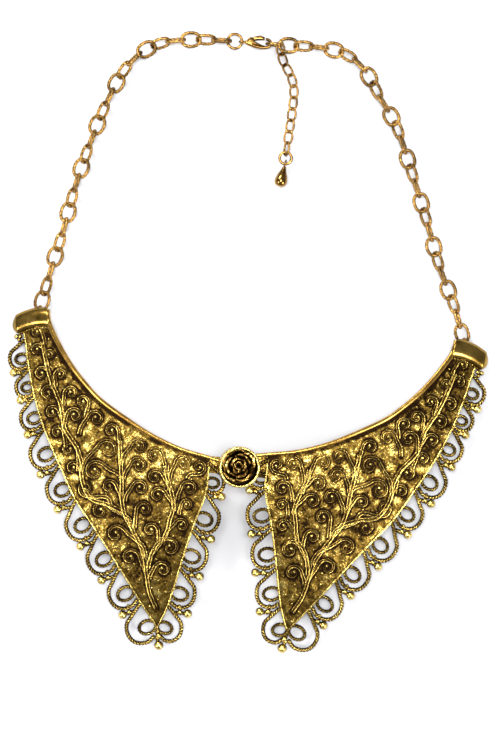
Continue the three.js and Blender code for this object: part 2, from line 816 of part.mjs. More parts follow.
function claspBody() {
  const eye = ovalRing({
    centre: new THREE.Vector3(0, 0, 0),
    along: new THREE.Vector3(1, 0, 0),
    across: up,
    halfLength: endLoopRadius,
    halfWidth: endLoopRadius,
    wire: endLoopWire,
    steps: 10,
  });
  const neckStart = ringWire + loopClearance;
  const neckEnd = leverPivot[0] - leverEndRadius / 2;
  const neck = new THREE.BoxGeometry(neckEnd - neckStart, neckWidth, cheekThickness);
  neck.translate((neckStart + neckEnd) / 2, 0, 0);
  const half = claspThickness / 2;
  const hook = bar(points3(hookPath), boxProfile(claspBar, -half, half));
  const cheekRadius = leverEndRadius + clearance;
  const cheeks = upright(cheekRadius, cheekThickness);
  const slot = upright(cheekRadius + slotPlay, leverThickness + 2 * clearance);
  const pin = upright(pinRadius, cheekThickness);
  const body = fused([eye, neck, hook, cheeks]).subtract(solidFrom(slot));
  return geometryFrom(body.add(solidFrom(pin)));
}

// The lever, in a frame whose origin is its pivot
function claspLever() {
  const [from, to] = leverEndArc.map(THREE.MathUtils.degToRad);
  const outline = new THREE.Shape();
  outline.absarc(0, 0, leverEndRadius, from, to, false);
  leverOutline.forEach(([x, y]) => outline.lineTo(x, y));
  const hole = new THREE.Path();
  hole.absarc(0, 0, pinRadius + pinPlay, 0, 2 * Math.PI, true);
  outline.holes.push(hole);
  const options = { depth: leverThickness, bevelEnabled: false, curveSegments: 5 };
  return new THREE.ExtrudeGeometry(outline, options).translate(0, 0, -leverThickness / 2);
}

const clasp = new THREE.Group();
clasp.position.copy(claspEye);
const leverMesh = namedMesh('clasp_lever', claspLever(), polishedGold, 0.2);
leverMesh.position.set(leverPivot[0], leverPivot[1], 0);
clasp.add(namedMesh('clasp_body', claspBody(), polishedGold, 0.2), leverMesh);

const dropMesh = namedMesh('drop', drop(), polishedGold, 0.15);
dropMesh.rotation.z = THREE.MathUtils.degToRad(dropTurn);
const dropLoopPlace = dropRingCentre.clone().addScaledVector(flatways, -dropRingRadius);
dropMesh.position.set(dropLoopPlace.x, dropLoopPlace.y, tableHeight + dropRadius);

// The whole necklace, with its lowest point on the table and its middle at the origin

const necklace = new THREE.Group();
necklace.add(
  bib,
  rosetteMesh,
  namedMesh('left_chain', leftChain, polishedGold, 0.25),
  namedMesh('right_chain', rightChain, polishedGold, 0.25),
  namedMesh('clasp_ring', claspRing, polishedGold, 0.2),
  namedMesh('hook_ring', hookRing, polishedGold, 0.2),
  clasp,
  namedMesh('extender_chain', extenderChain, polishedGold, 0.25),
  namedMesh('drop_ring', dropRing, polishedGold, 0.2),
  dropMesh,
);
necklace.updateMatrixWorld(true);
const covered = new THREE.Box3().setFromObject(necklace);
const middle = covered.getCenter(new THREE.Vector3());
necklace.position.set(-middle.x, -middle.y, -covered.min.z);

const part = new THREE.Group();
part.add(necklace);

export default part;
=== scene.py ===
# %% [markdown]
# # A bib necklace in antique gold
# The necklace is two cast collar wings with a pierced lace edge, joined by a rose. Cable chains,
# a lobster clasp and an extender with a drop close it. It lies on a table, seen from above.
# The model comes in as a frame of plain solids. Each solid is then dressed with finer pieces
# that stand in the same place.

# %% Load the frame
import math

import bpy
from mathutils import Matrix, Vector, kdtree, noise


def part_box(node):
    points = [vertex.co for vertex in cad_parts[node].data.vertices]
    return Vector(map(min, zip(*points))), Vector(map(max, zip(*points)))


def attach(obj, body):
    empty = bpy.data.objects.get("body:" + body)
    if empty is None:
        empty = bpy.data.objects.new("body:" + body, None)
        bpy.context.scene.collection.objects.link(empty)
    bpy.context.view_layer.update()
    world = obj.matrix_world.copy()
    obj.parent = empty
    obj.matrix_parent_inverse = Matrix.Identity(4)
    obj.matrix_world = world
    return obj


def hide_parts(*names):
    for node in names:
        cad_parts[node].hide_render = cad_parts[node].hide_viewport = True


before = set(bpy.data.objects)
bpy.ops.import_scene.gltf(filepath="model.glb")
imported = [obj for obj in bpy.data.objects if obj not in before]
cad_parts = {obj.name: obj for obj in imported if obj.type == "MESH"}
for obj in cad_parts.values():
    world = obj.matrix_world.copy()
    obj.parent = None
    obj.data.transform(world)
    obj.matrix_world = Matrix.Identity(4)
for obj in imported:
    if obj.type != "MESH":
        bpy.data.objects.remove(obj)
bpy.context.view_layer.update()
print("nodes:", len(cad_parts))

# %% [markdown]
# The camera looks straight down, as in the photograph, and is turned a little about its own
# axis. A long lens keeps the high middle of the bib from growing against its edges.
# The real surface is a white table under a large soft lamp. Polished metal shows what is
# around it, so the room is kept dim and the lamps large: bright bands and dark gaps appear.

# %% Camera, table and lamps
MM = 0.001
SEEN = Vector((1.9, 31.7, 0))  # the photograph's middle, counted from the rosette, in mm
FRAME_HEIGHT = 262.5
LENS = 135
SHIFT = Vector((-1.341, -41.541, 3.750))  # from the rosette's frame to the row frame, in mm

aim = (SEEN + SHIFT) * MM
distance = FRAME_HEIGHT * MM * LENS / 36
bpy.ops.object.camera_add(
    location=(aim.x, aim.y, distance), rotation=(0, 0, math.radians(4.2))
)
camera = bpy.context.object
camera.data.lens = LENS
camera.data.clip_start = 0.05
camera.data.clip_end = 20
bpy.context.scene.camera = camera

bpy.ops.mesh.primitive_plane_add(size=6, location=(0, 0, -0.0002))
table = bpy.context.object
table.name = "table"


def softbox(name, place, size, power, tint):
    """A rectangular lamp that points at the necklace."""
    bpy.ops.object.light_add(type="AREA", location=place)
    lamp = bpy.context.object
    lamp.name = name
    lamp.data.shape = "RECTANGLE"
    lamp.data.size, lamp.data.size_y = size
    lamp.data.energy = power
    lamp.data.color = tint
    lamp.rotation_euler = (-Vector(place)).to_track_quat("-Z", "Y").to_euler()


softbox("key", (-0.5, 0.75, 0.8), (0.5, 0.35), 12, (1, 0.98, 0.94))
softbox("fill", (0.75, -0.5, 0.65), (0.35, 0.5), 8, (1, 0.99, 0.97))
softbox("side", (-0.8, -0.4, 0.7), (0.3, 0.4), 7, (1, 0.99, 0.97))
softbox("top", (0.02, 0.06, 1.3), (0.5, 0.26), 17, (1, 1, 1))
world = bpy.data.worlds.new("dim room")
bpy.context.scene.world = world
world.use_nodes = True
room = world.node_tree.nodes["Background"]
room.inputs["Color"].default_value = (0.9, 0.93, 1, 1)
room.inputs["Strength"].default_value = 0.3
bpy.context.scene.view_settings.view_transform = "Standard"
print("camera height:", round(distance, 3), "m")

# %% [markdown]
# One small function adds a shader node: each of its inputs takes a value or another node's
# output. Another turns a colour from its web value to the linear value that a shader needs.

# %% Helpers for materials


def linear(web):
    """A web colour such as 'c8a050' as linear red, green, blue, alpha."""
    parts = [int(web[i : i + 2], 16) / 255 for i in (0, 2, 4)]
    return tuple(
        p / 12.92 if p < 0.04045 else ((p + 0.055) / 1.055) ** 2.4 for p in parts
    ) + (1,)


def node(tree, kind, inputs, output=0, **settings):
    """Adds a node with its settings, fills or links its inputs, and returns one output."""
    made = tree.nodes.new("ShaderNode" + kind)
    for key, value in settings.items():
        setattr(made, key, value)
    for key, value in inputs.items():
        if isinstance(value, bpy.types.NodeSocket):
            tree.links.new(value, made.inputs[key])
        else:
            made.inputs[key].default_value = value
    return made.outputs[output]


def new_material(name, **plain):
    """A material with its shader's plain values set, its tree, shader and object coordinates."""
    material = bpy.data.materials.new(name)
    material.use_nodes = True
    tree = material.node_tree
    shader = tree.nodes["Principled BSDF"]
    for key, value in plain.items():
        shader.inputs[key].default_value = value
    place = node(tree, "TexCoord", {}, "Object")
    return material, tree, shader, place


def per_mm(size):
    """The noise scale that gives blotches about so many millimetres across."""
    return 1 / (size * MM)


# a Mix node keeps its colours in these inputs and its result in this output
FIRST, SECOND, MIXED = 6, 7, 2
print("a warm gold in linear light:", [round(p, 3) for p in linear("c8a050")])

# %% [markdown]
# The bib is cast zinc alloy, plated and then dipped in a dark patina that is wiped off the high
# places. So one value on each corner of the mesh, called wear_and_painted_light, says how far it
# was wiped: the ground stays dark and rough, the ridges come out as bright gold. On the plate
# the same value also carries painted shade beside the vines and the rim, and a painted highlight
# near the rosette. Two sizes of grain break the edge between them, as a rag does.

# %% Antique gold


def antique_gold(name, bright, mid, dark, wiped=0.0):
    """Patina, worn plating, bright ridges and painted light by the mesh's wear_and_painted_light
    value.
    """
    material, tree, shader, place = new_material(name, Metallic=1)
    # this value is the wiped patina, and on the plate also painted shade and a painted highlight
    share = node(tree, "Attribute", {}, "Fac", attribute_name="wear_and_painted_light")
    # size in mm, detail, the noise's lowest usual value, how far it moves the edge
    for size, detail, low, reach in ((5, 4, 0.3, 0.26), (0.6, 2, 0.35, 0.18)):
        grain = node(
            tree, "TexNoise", {"Vector": place, "Scale": per_mm(size), "Detail": detail}
        )
        spread = {"Value": grain, "From Min": low, "From Max": 1 - low}
        broken = node(tree, "MapRange", {**spread, "To Min": -reach, "To Max": reach})
        share = node(tree, "Math", {0: share, 1: broken}, operation="ADD")
    mask = node(
        tree, "MapRange", {"Value": share, "From Min": 0.12 - wiped, "From Max": 0.62 - wiped}
    )
    shine = node(
        tree, "MapRange", {"Value": share, "From Min": 0.5 - wiped, "From Max": 1.15 - wiped}
    )
    golds = {0: shine, FIRST: linear(mid), SECOND: linear(bright)}
    plated = node(tree, "Mix", golds, MIXED, data_type="RGBA")
    coats = {0: mask, FIRST: linear(dark), SECOND: plated}
    colour = node(tree, "Mix", coats, MIXED, data_type="RGBA")
    rough = node(tree, "MapRange", {"Value": mask, "To Min": 0.5, "To Max": 0.24})
    pits = node(tree, "TexNoise", {"Vector": place, "Scale": per_mm(1.3), "Detail": 3})
    fine_pits = node(tree, "TexNoise", {"Vector": place, "Scale": per_mm(0.28)})
    height = node(tree, "Math", {0: fine_pits, 1: 0.3, 2: pits}, operation="MULTIPLY_ADD")
    pitted = node(tree, "Bump", {"Height": height, "Strength": 0.7, "Distance": 0.0003})
    tree.links.new(colour, shader.inputs["Base Color"])
    tree.links.new(rough, shader.inputs["Roughness"])
    tree.links.new(pitted, shader.inputs["Normal"])
    return material


cast_gold = antique_gold("cast zinc alloy, antique gold plated", "ecd176", "7e6226", "1f1409")
dark_gold = antique_gold("cast zinc alloy, heavy patina", "e8cc7a", "8a672c", "1f1408", -0.05)

# %% [markdown]
# The rim and the smooth ends were polished after casting. The chain, the clasp and the drop are
# polished brass with a warm thin plating. Both are nearly mirrors: only a faint waviness and a
# slight change of tint over a few millimetres keep them from looking like glass.

# %% Polished gold


def polished_gold(name, tint, second, roughness, wave_mm):
    """A nearly mirror-like metal with two close tints and light scuffs."""
    material, tree, shader, place = new_material(name, Metallic=1)
    patches = node(tree, "TexNoise", {"Vector": place, "Scale": per_mm(6), "Detail": 3})
    share = node(tree, "MapRange", {"Value": patches, "From Min": 0.35, "From Max": 0.65})
    tints = {0: share, FIRST: linear(tint), SECOND: linear(second)}
    colour = node(tree, "Mix", tints, MIXED, data_type="RGBA")
    marks = node(tree, "TexNoise", {"Vector": place, "Scale": per_mm(1.6), "Detail": 4})
    spread = {"Value": marks, "From Min": 0.3, "From Max": 0.75}
    scuffs = node(
        tree, "MapRange", {**spread, "To Min": roughness, "To Max": roughness + 0.1}
    )
    waves = node(tree, "TexNoise", {"Vector": place, "Scale": per_mm(wave_mm)})
    wavy = node(tree, "Bump", {"Height": waves, "Strength": 0.25, "Distance": 0.0002})
    tree.links.new(colour, shader.inputs["Base Color"])
    tree.links.new(scuffs, shader.inputs["Roughness"])
    tree.links.new(wavy, shader.inputs["Normal"])
    return material


rim_gold = polished_gold("zinc alloy, polished and gold plated", "cda451", "9d7636", 0.18, 4)
end_gold = polished_gold(
    "zinc alloy, polished and toned plating", "ac8b45", "70571f", 0.16, 5
)
chain_gold = polished_gold(
    "brass wire, polished and gold plated", "ab8344", "604520", 0.11, 2.4
)
print("polished golds:", [m.name for m in (rim_gold, end_gold, chain_gold)])

# %% [markdown]
# The table is matt card. It scatters the light evenly and mirrors nothing, and its two close
# whites lie in broad soft patches.

# %% Matt white card
card, card_tree, card_shader, card_place = new_material("matt white card", Roughness=0.9)
patches = node(card_tree, "TexNoise", {"Vector": card_place, "Scale": per_mm(90)})
whites = {0: patches, FIRST: linear("c8c8ca"), SECOND: linear("cbcbcd")}
white = node(card_tree, "Mix", whites, MIXED, data_type="RGBA")
card_tree.links.new(white, card_shader.inputs["Base Color"])
table.data.materials.append(card)
print("materials:", [m.name for m in bpy.data.materials])

# %% [markdown]
# Every long piece of the bib follows a smooth line through a few points. The same kind of curve
# is used as in the solids, so that the new pieces land where the solids are. Lines are then cut
# into even steps.

# %% Lines


def through(points, count):
    """count + 1 points, evenly spread along the smooth curve through the given points."""
    points = [Vector(p) if len(p) == 3 else Vector((*p, 0)) for p in points]
    last = len(points) - 1

    def at(t):
        index = min(int(t * last), last - 1)
        part = t * last - index
        b, c = points[index], points[index + 1]
        a = points[index - 1] if index else b * 2 - c
        d = points[index + 2] if index + 2 <= last else c * 2 - b
        one, two, three = ((q - p).length ** 0.5 for p, q in ((a, b), (b, c), (c, d)))
        leave = ((b - a) / one - (c - a) / (one + two) + (c - b) / two) * two
        arrive = ((c - b) / two - (d - b) / (two + three) + (d - c) / three) * two
        cubic = 2 * (b - c) + leave + arrive
        square = 3 * (c - b) - 2 * leave - arrive
        return b + part * (leave + part * (square + part * cubic))

    fine = [at(i / 400) for i in range(401)]
    return evenly(fine, count)


def evenly(path, count):
    """The same path cut into count even steps."""
    reached = [0.0]
    for a, b in zip(path, path[1:]):
        reached.append(reached[-1] + (b - a).length)
    out, k = [], 0
    for i in range(count + 1):
        goal = reached[-1] * i / count
        while k < len(path) - 2 and reached[k + 1] < goal:
            k += 1
        step = reached[k + 1] - reached[k]
        out.append(path[k].lerp(path[k + 1], (goal - reached[k]) / step if step else 0))
    return out


def length(path):
    return sum((b - a).length for a, b in zip(path, path[1:]))


bow = through([(-1, 0), (0, 1), (1, 0)], 60)
print("a bow through three points:", round(length(bow), 2), "long")

# %% [markdown]
# The wings are arched like a shallow dome, because they lie on a chest. All sizes are in
# millimetres from the rosette's middle. The left wing is drawn; the right one is its mirror
# image, turned by a few degrees where the rivet lets it swing.

# %% The wing's shape
NECKLINE = [
    (-69.3, 49.6), (-68.3, 45), (-65.6, 40), (-62.4, 35), (-58.8, 30.2), (-54, 25),
    (-48.9, 20.3), (-38.5, 13.8), (-30, 9.2), (-20, 5.3), (-9.8, 3),
]  # fmt: skip
OUTER_EDGE = [
    (-78.5, 43), (-77.2, 38.5), (-74.9, 28.3), (-72.3, 19), (-68.1, 8.2), (-61.8, -4),
    (-55.3, -15.7), (-46.8, -26.8), (-38.5, -38.2), (-30.3, -49.8), (-23.8, -58.5),
]  # fmt: skip
INNER_EDGE = [
    (-9.8, 3), (-10.3, -10), (-13, -19), (-15.3, -27.5), (-17.3, -36), (-20.6, -50),
    (-23.8, -58.5),
]  # fmt: skip
DOME_TOP, DOME_HALF = 15, 80  # the arch's height, and half its width at its foot
STEPS = 400
neckline = through(NECKLINE, STEPS)
outer_edge = through(OUTER_EDGE, STEPS)
inner_edge = through(INNER_EDGE, STEPS)


def dome(x, y):
    """Height of the wing's ground over the rosette frame's zero."""
    return DOME_TOP - DOME_TOP * (x / DOME_HALF) ** 2 - 7.8 * ((y - 20) / 60) ** 2


def on_dome(p, lift=0.0):
    return Vector((p[0], p[1], dome(p[0], p[1]) + lift))


def pick(line, share):
    """The point at a share of an evenly cut line."""
    place = min(max(share, 0), 1) * STEPS
    k = min(int(place), STEPS - 1)
    return line[k].lerp(line[k + 1], place - k)


def wing_point(share, reach):
    """A point on the plate: share runs along the neckline, reach from it to the outer edge."""
    straight = pick(neckline, share).lerp(pick(outer_edge, share), reach)
    chord = neckline[-1].lerp(outer_edge[-1], reach)
    return straight + (pick(inner_edge, reach) - chord) * share**6


def row_length(share):
    return (wing_point(share, 1) - wing_point(share, 0)).length


RIGHT_TURN = math.radians(-2.8)
RIGHT_PIVOT = Vector((52, -5, 0))
RIGHT_SLIDE = Vector((0, 0.6, 0))
turn = Matrix.Rotation(RIGHT_TURN, 4, "Z")
right_place = RIGHT_PIVOT - turn @ RIGHT_PIVOT + RIGHT_SLIDE
TO_ROW = Matrix.Scale(MM, 4) @ Matrix.Translation(SHIFT)
LEFT = TO_ROW
RIGHT = TO_ROW @ Matrix.Translation(right_place) @ turn @ Matrix.Diagonal((-1, 1, 1, 1))
print("neckline and outer edge:", [round(length(e), 1) for e in (neckline, outer_edge)], "mm")

# %% [markdown]
# A finished piece stands at the origin with its place in its mesh. The cast pieces of a wing
# get their wear_and_painted_light value, with the plate's painted shade and painted highlight,
# mostly from how far they stand over the ground, then the mirrored copy is made.

# %% Finishing pieces


def finish_piece(piece, material, nodes, body="necklace"):
    """Gives a placed piece its material and its body, and hides the solids that it stands for.
    """
    piece.data.materials.append(material)
    piece.data.polygons.foreach_set("use_smooth", [True] * len(piece.data.polygons))
    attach(piece, body)
    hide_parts(*nodes)
    print(piece.name, len(piece.data.polygons), "faces")


def mark_wear_and_painted_light(piece, wear_and_painted_light):
    """Writes wear_and_painted_light(x, y, z) on each corner, in the wing's millimetres."""
    values = [min(max(wear_and_painted_light(*v.co), 0), 1) for v in piece.data.vertices]
    layer = piece.data.attributes.new("wear_and_painted_light", "FLOAT", "POINT")
    layer.data.foreach_set("value", values)


UNDERSIDE = -0.7  # lower than this over the ground is the plain back


def by_height(low, high, back=0.45):
    """Wear that grows from low to high over the ground; the plain back gets one value."""

    def wear_and_painted_light(x, y, z):
        lift = z - dome(x, y)
        return back if lift < UNDERSIDE else (lift - low) / (high - low)

    return wear_and_painted_light


def both_wings(piece, name, material, wear_and_painted_light=None):
    """Seats the drawn piece on the left and its mirror image on the right."""
    if wear_and_painted_light:
        mark_wear_and_painted_light(piece, wear_and_painted_light)
    other = piece.copy()
    other.data = piece.data.copy()
    bpy.context.collection.objects.link(other)
    piece.data.transform(LEFT)
    other.data.transform(RIGHT)
    other.data.flip_normals()
    for each, side in ((piece, "left"), (other, "right")):
        each.name = f"{side}_{name}"
        finish_piece(each, material, [f"{side}_wing"])


def select(*pieces):
    """Selects these pieces alone. The first becomes the active one."""
    bpy.ops.object.select_all(action="DESELECT")
    for each in pieces:
        each.select_set(True)
    bpy.context.view_layer.objects.active = pieces[0]


def outward(piece):
    """Merges doubles and turns all faces outwards."""
    select(piece)
    bpy.ops.object.mode_set(mode="EDIT")
    bpy.ops.mesh.select_all(action="SELECT")
    bpy.ops.mesh.remove_doubles(threshold=0.0001)
    bpy.ops.mesh.normals_make_consistent(inside=False)
    bpy.ops.object.mode_set(mode="OBJECT")


def joined(pieces, name):
    """Several pieces as one."""
    select(*pieces)
    bpy.ops.object.join()
    pieces[0].name = name
    return pieces[0]


ridge_wear = by_height(-0.1, 0.45)
print("wear on a ridge of 0.2 mm:", round(ridge_wear(0, 0, dome(0, 0) + 0.2), 2))

# %% [markdown]
# The plate is one casting with a hammered, pitted ground. It starts as a flat grid whose rows
# are then laid from the neckline to the outer edge. Fine noise lifts and sinks the ground by one
# or two tenths of a millimetre, and Solidify gives it its wall.

# %% The plate


def loft(across, along, place, thickness=0):
    """A grid laid out by place(u, v), both from 0 to 1, with a wall if it has a thickness."""
    bpy.ops.mesh.primitive_grid_add(x_subdivisions=along, y_subdivisions=across, size=2)
    sheet = bpy.context.object
    for v in sheet.data.vertices:
        v.co = place((v.co.x + 1) / 2, (v.co.y + 1) / 2)
    if thickness:
        wall = sheet.modifiers.new("wall", "SOLIDIFY")
        wall.thickness = thickness
        wall.offset = 1
        bpy.ops.object.modifier_apply(modifier="wall")
    outward(sheet)
    return sheet


def rim_width(share):
    return 2.1 + (1.3 - 2.1) * share


def ground_point(share, reach):
    row = row_length(share)
    start = rim_width(share) * 0.5 / row
    flat = wing_point(share, start + (1 - start) * reach)
    hammered = 0.22 * noise.noise(flat / 2.4) + 0.1 * noise.noise(flat / 0.9)
    edge = min(reach, 1 - reach, (1 - share) * 1.5) * row
    return on_dome(flat, hammered * min(1, edge / 1.5))


plate = loft(120, 240, ground_point, thickness=1.0)
print("plate:", len(plate.data.polygons), "faces")

# %% [markdown]
# A smooth roll runs along the neckline, with a wall on its outer side. It is widest at the
# smooth end. The same grid tool makes it: one direction follows the neckline, the other goes
# round the roll's section.

# %% The rim and the borders


def rim_point(share, around):
    width = rim_width(share)
    row = row_length(share)
    angle = math.pi * min(around / 0.8, 1)
    off = 0.5 * width * (1 - math.cos(angle))
    lift = 1.1 * math.sin(angle) ** 0.75 - 0.1
    if around > 0.8:
        part = (around - 0.8) / 0.2
        off, lift = width * (1 - part), -0.1 - 0.7 * math.sin(math.pi * part)
    point = on_dome(wing_point(share, off / row), lift)
    if around < 0.02 or around > 0.99:
        point.z -= 1.4
    return point


def border_paths():
    """The thin raised borders along the outer edge and the inner edge."""
    outer = [wing_point(0.02 + 0.98 * i / 300, 1) for i in range(301)]
    inner = [pick(inner_edge, 0.06 + 0.93 * i / 160) for i in range(161)]
    return [outer, inner]


rim = loft(20, 240, rim_point)
print("rim:", len(rim.data.polygons), "faces")

# %% [markdown]
# Wires and bands are swept: a small flat outline is carried along a line. A curve object does
# that with its bevel object, can twist the outline as it goes, and is then turned into a mesh.
# Twisting an outline with three lobes gives a rope of three strands.

# %% Swept bars


def meshed(curve):
    """A new piece, made from a curve."""
    piece = bpy.data.objects.new(curve.name, curve)
    bpy.context.collection.objects.link(piece)
    select(piece)
    bpy.ops.object.convert(target="MESH")
    made = bpy.context.object
    outward(made)
    return made


def flat_curve(name, outline):
    """A closed flat curve, straight from point to point."""
    curve = bpy.data.curves.new(name, "CURVE")
    curve.dimensions = "2D"
    line = curve.splines.new("POLY")
    line.points.add(len(outline) - 1)
    for point, (x, y) in zip(line.points, outline):
        point.co = (x, y, 0, 1)
    line.use_cyclic_u = True
    return curve


def laid(paths, lift=0.0):
    """Flat paths, laid on the wing's ground."""
    return [[on_dome(p, lift) for p in path] for path in paths]


def swept(paths, outline, closed=False, size=None, twist=0.0):
    """One mesh of bars. size(i, n) scales the outline, twist is in radians per step."""
    pattern = bpy.data.objects.new("outline", flat_curve("outline", outline))
    bpy.context.collection.objects.link(pattern)
    curve = bpy.data.curves.new("bar", "CURVE")
    curve.dimensions = "3D"
    curve.twist_mode = "Z_UP"
    curve.bevel_mode = "OBJECT"
    curve.bevel_object = pattern
    curve.use_fill_caps = True
    for path in paths:
        spline = curve.splines.new("POLY")
        spline.points.add(len(path) - 1)
        for i, (point, co) in enumerate(zip(spline.points, path)):
            point.co = (*co, 1)
            point.radius = size(i, len(path)) if size else 1
            point.tilt = twist * i
        spline.use_cyclic_u = closed
    bar = meshed(curve)
    bpy.data.objects.remove(pattern)
    return bar


BORDER = [(-0.35, -0.2), (-0.35, 0.25), (-0.2, 0.42), (0.2, 0.42), (0.35, 0.25), (0.35, -0.2)]
borders = swept(laid(border_paths()), BORDER)
both_wings(borders, "borders", cast_gold, ridge_wear)
# the roll runs on past the plate's corner to the cup, as a short bar
ROLL = [
    (-0.65, -0.5), (-0.6, 0.3), (-0.35, 0.7), (0, 0.82), (0.35, 0.7), (0.6, 0.3), (0.65, -0.5),
]  # fmt: skip
run_on = through([(-10.4, 2.5), (-8, 1.95), (-5.6, 1.45)], 12)
rim = joined([rim, swept(laid([run_on], 0.1), ROLL)], "rim")
both_wings(rim, "rim", rim_gold)

# %% [markdown]
# The outer end of each wing is a plain polished block with a crowned top. It is lofted as the
# rim is: one direction runs along the block, the other goes round its section. The section
# shrinks at both tips, so that they come out round. A low row of beads borders the plate.

# %% The smooth ends
CAP_UPPER = [(-69.3, 49.9), (-72, 50), (-76, 49.2), (-80, 47.5), (-82.7, 45.7)]
CAP_LOWER = [(-67.9, 43.2), (-71.5, 43.2), (-75.5, 42.3), (-79.2, 40.6), (-81.6, 39.5)]
cap_upper = through(CAP_UPPER, STEPS)
cap_lower = through(CAP_LOWER, STEPS)


def cap_point(along, around):
    tip = min(1, (along / 0.07) ** 0.5, ((1 - along) / 0.12) ** 0.5)
    upper, lower = pick(cap_upper, along), pick(cap_lower, along)
    across, rise = math.cos(math.tau * around), math.sin(math.tau * around)
    across = math.copysign(abs(across) ** 0.85, across)
    spot = upper.lerp(lower, 0.5) + (upper - lower) * (0.5 * tip * across)
    return on_dome(spot, -0.15 + (1.75 if rise > 0 else 0.85) * tip * rise)


end_block = loft(40, 60, cap_point)
both_wings(end_block, "smooth_end", end_gold)

# %% [markdown]
# The lace is cast from a pattern of twisted wire. Each scallop is an arch of rope, a small oval
# of rope inside it and a ball where two arches meet. One scallop is drawn in shares of its
# pitch and repeated along both edges. A plain bar under the rope gives the casting its depth.

# %% The lace
SCALLOP = [
    (0, 0), (0.1, 0.19), (0.235, 0.4), (0.37, 0.6), (0.59, 0.685), (0.8, 0.645),
    (0.93, 0.5), (0.975, 0.28), (0.9, 0.08),
]  # fmt: skip
OUTER_STARTS = [0.04, 0.13, 0.213, 0.312, 0.43, 0.544, 0.664, 0.785, 0.907]
INNER_STARTS = [0.04, 0.205, 0.42, 0.64, 0.86]
TIP_WEB = Vector((-23.6, -62.5, 0))
TIP_BALL = Vector((-23, -65, 0))
ROPE_RADIUS, STRAND_RISE = 0.6, 0.24
ROPE = [
    (
        (ROPE_RADIUS + STRAND_RISE * math.cos(3 * a)) * math.cos(a),
        (ROPE_RADIUS + STRAND_RISE * math.cos(3 * a)) * math.sin(a),
    )
    for a in (math.tau * i / 12 for i in range(12))
]
BACKING = [(-0.5, -0.82), (-0.62, -0.1), (0.62, -0.1), (0.5, -0.82)]
ROPE_STEP = 0.26
ROPE_PITCH = 3.0  # three strands, so a dot each millimetre
OVAL_LONG, OVAL_WIDE = 0.16, 0.21  # half sizes along and across the edge, in pitches
OVAL_STEPS, OVAL_TURNS = 48, 6
BALL_RADIUS = 1.5

arches, ovals, necks, balls = [], [], [], []
for edge, starts, side, reach in (
    (outer_edge, OUTER_STARTS, 1, 0.95),
    (inner_edge, INNER_STARTS, -1, 0.85),
):
    places = [pick(edge, s) for s in starts] + [TIP_WEB]
    for start, end in zip(places, places[1:]):
        pitch = (end - start).length
        forward = (end - start) / pitch
        out = Vector((forward.y, -forward.x, 0)) * side
        last = end is places[-1]

        def spot(u, v):
            return start + forward * (u * pitch) + out * (v * pitch * reach - 0.4)

        arch = [spot(u, v) for u, v in SCALLOP]
        arches.append(through(arch, round(length(arch) / ROPE_STEP)))
        centre = spot(0.635, 0.14 if last else 0.25)
        long, wide = forward * (OVAL_LONG * pitch), out * (OVAL_WIDE * pitch)
        ovals.append([
            centre + long * math.cos(a) + wide * math.sin(a)
            for a in (math.tau * i / OVAL_STEPS for i in range(OVAL_STEPS))
        ])
        if not last:
            ball = spot(1.05, 0.61 if side > 0 else 0.66)
            following = spot(1.13, 0.27)
            necks.append([ball, ball.lerp(following, 0.5), following])
            balls += [(ball, BALL_RADIUS), (spot(1.07, 0.42), 0.85), (spot(0.93, 0.36), 0.6)]
        balls.append((spot(0.97, 0.04), 0.7))
balls.append((TIP_BALL + Vector((0, 0.2, 0)), 1.62))
balls.append((TIP_WEB + Vector((0.3, 1.2, 0)), 1.0))
necks.append([outer_edge[-1], TIP_WEB, TIP_BALL])
CAP_ROW = [0.04 + 0.066 * i for i in range(13)]
balls += [(pick(cap_lower, share) + Vector((0.1, -0.35, 0)), 0.55) for share in CAP_ROW]
CAP_CLUSTER = [(-80.3, 39.1, 0.85), (-78.9, 39.2, 0.8), (-79.3, 38.0, 0.7)]
balls += [(Vector((x, y, 0)), radius) for x, y, radius in CAP_CLUSTER]
per_step = math.tau * ROPE_STEP / ROPE_PITCH
oval_twist = math.tau * OVAL_TURNS / OVAL_STEPS


def thin_rope(i, n):
    return 0.85


neck_lines = [through(n, round(length(n) / ROPE_STEP)) for n in necks]
rope = [
    swept(laid(arches), ROPE, twist=per_step),
    swept(laid(ovals), ROPE, closed=True, size=thin_rope, twist=oval_twist),
    swept(laid(neck_lines, -0.1), ROPE, twist=per_step),
    swept(laid(arches + neck_lines), BACKING),
    swept(laid(ovals), BACKING, closed=True, size=thin_rope),
]


def bead(place, radius, rings=8):
    bpy.ops.mesh.primitive_uv_sphere_add(
        segments=2 * rings, ring_count=rings, radius=radius, location=on_dome(place)
    )
    bpy.ops.object.transform_apply(location=True, rotation=False, scale=False)
    return bpy.context.object


lace_beads = joined([bead(p, r) for p, r in balls], "beads")
lace = joined([*rope, lace_beads], "lace")
both_wings(lace, "lace", cast_gold, by_height(0.22, 0.84, 0.2))
print("scallops on each wing:", len(arches))

# %% [markdown]
# Vines cover the ground. Each band has two ridges with a groove between them, so the outline
# that is swept has two humps. Three stems carry the scrolls. A scroll leaves its stem, bends
# round its head and winds into it, getting thinner.

# %% The vines
STEMS = [
    [(-24.8, -51.5), (-27.5, -46), (-28.9, -39.5), (-30.5, -32.5), (-34.5, -25), (-38, -19),
     (-39.3, -13), (-39.6, -7), (-40.7, 0), (-41, 6)],
    [(-28.5, -38), (-27.7, -33), (-25.5, -28.5), (-23.3, -26), (-22, -20), (-21, -15),
     (-22.3, -10), (-24, -5), (-24.3, -1)],
    [(-38, -19), (-44, -16.6), (-50, -15), (-53.7, -8), (-54, -3), (-56, 2), (-61, 9),
     (-62.5, 16), (-66.5, 24), (-69, 31), (-71, 38)],
]  # fmt: skip
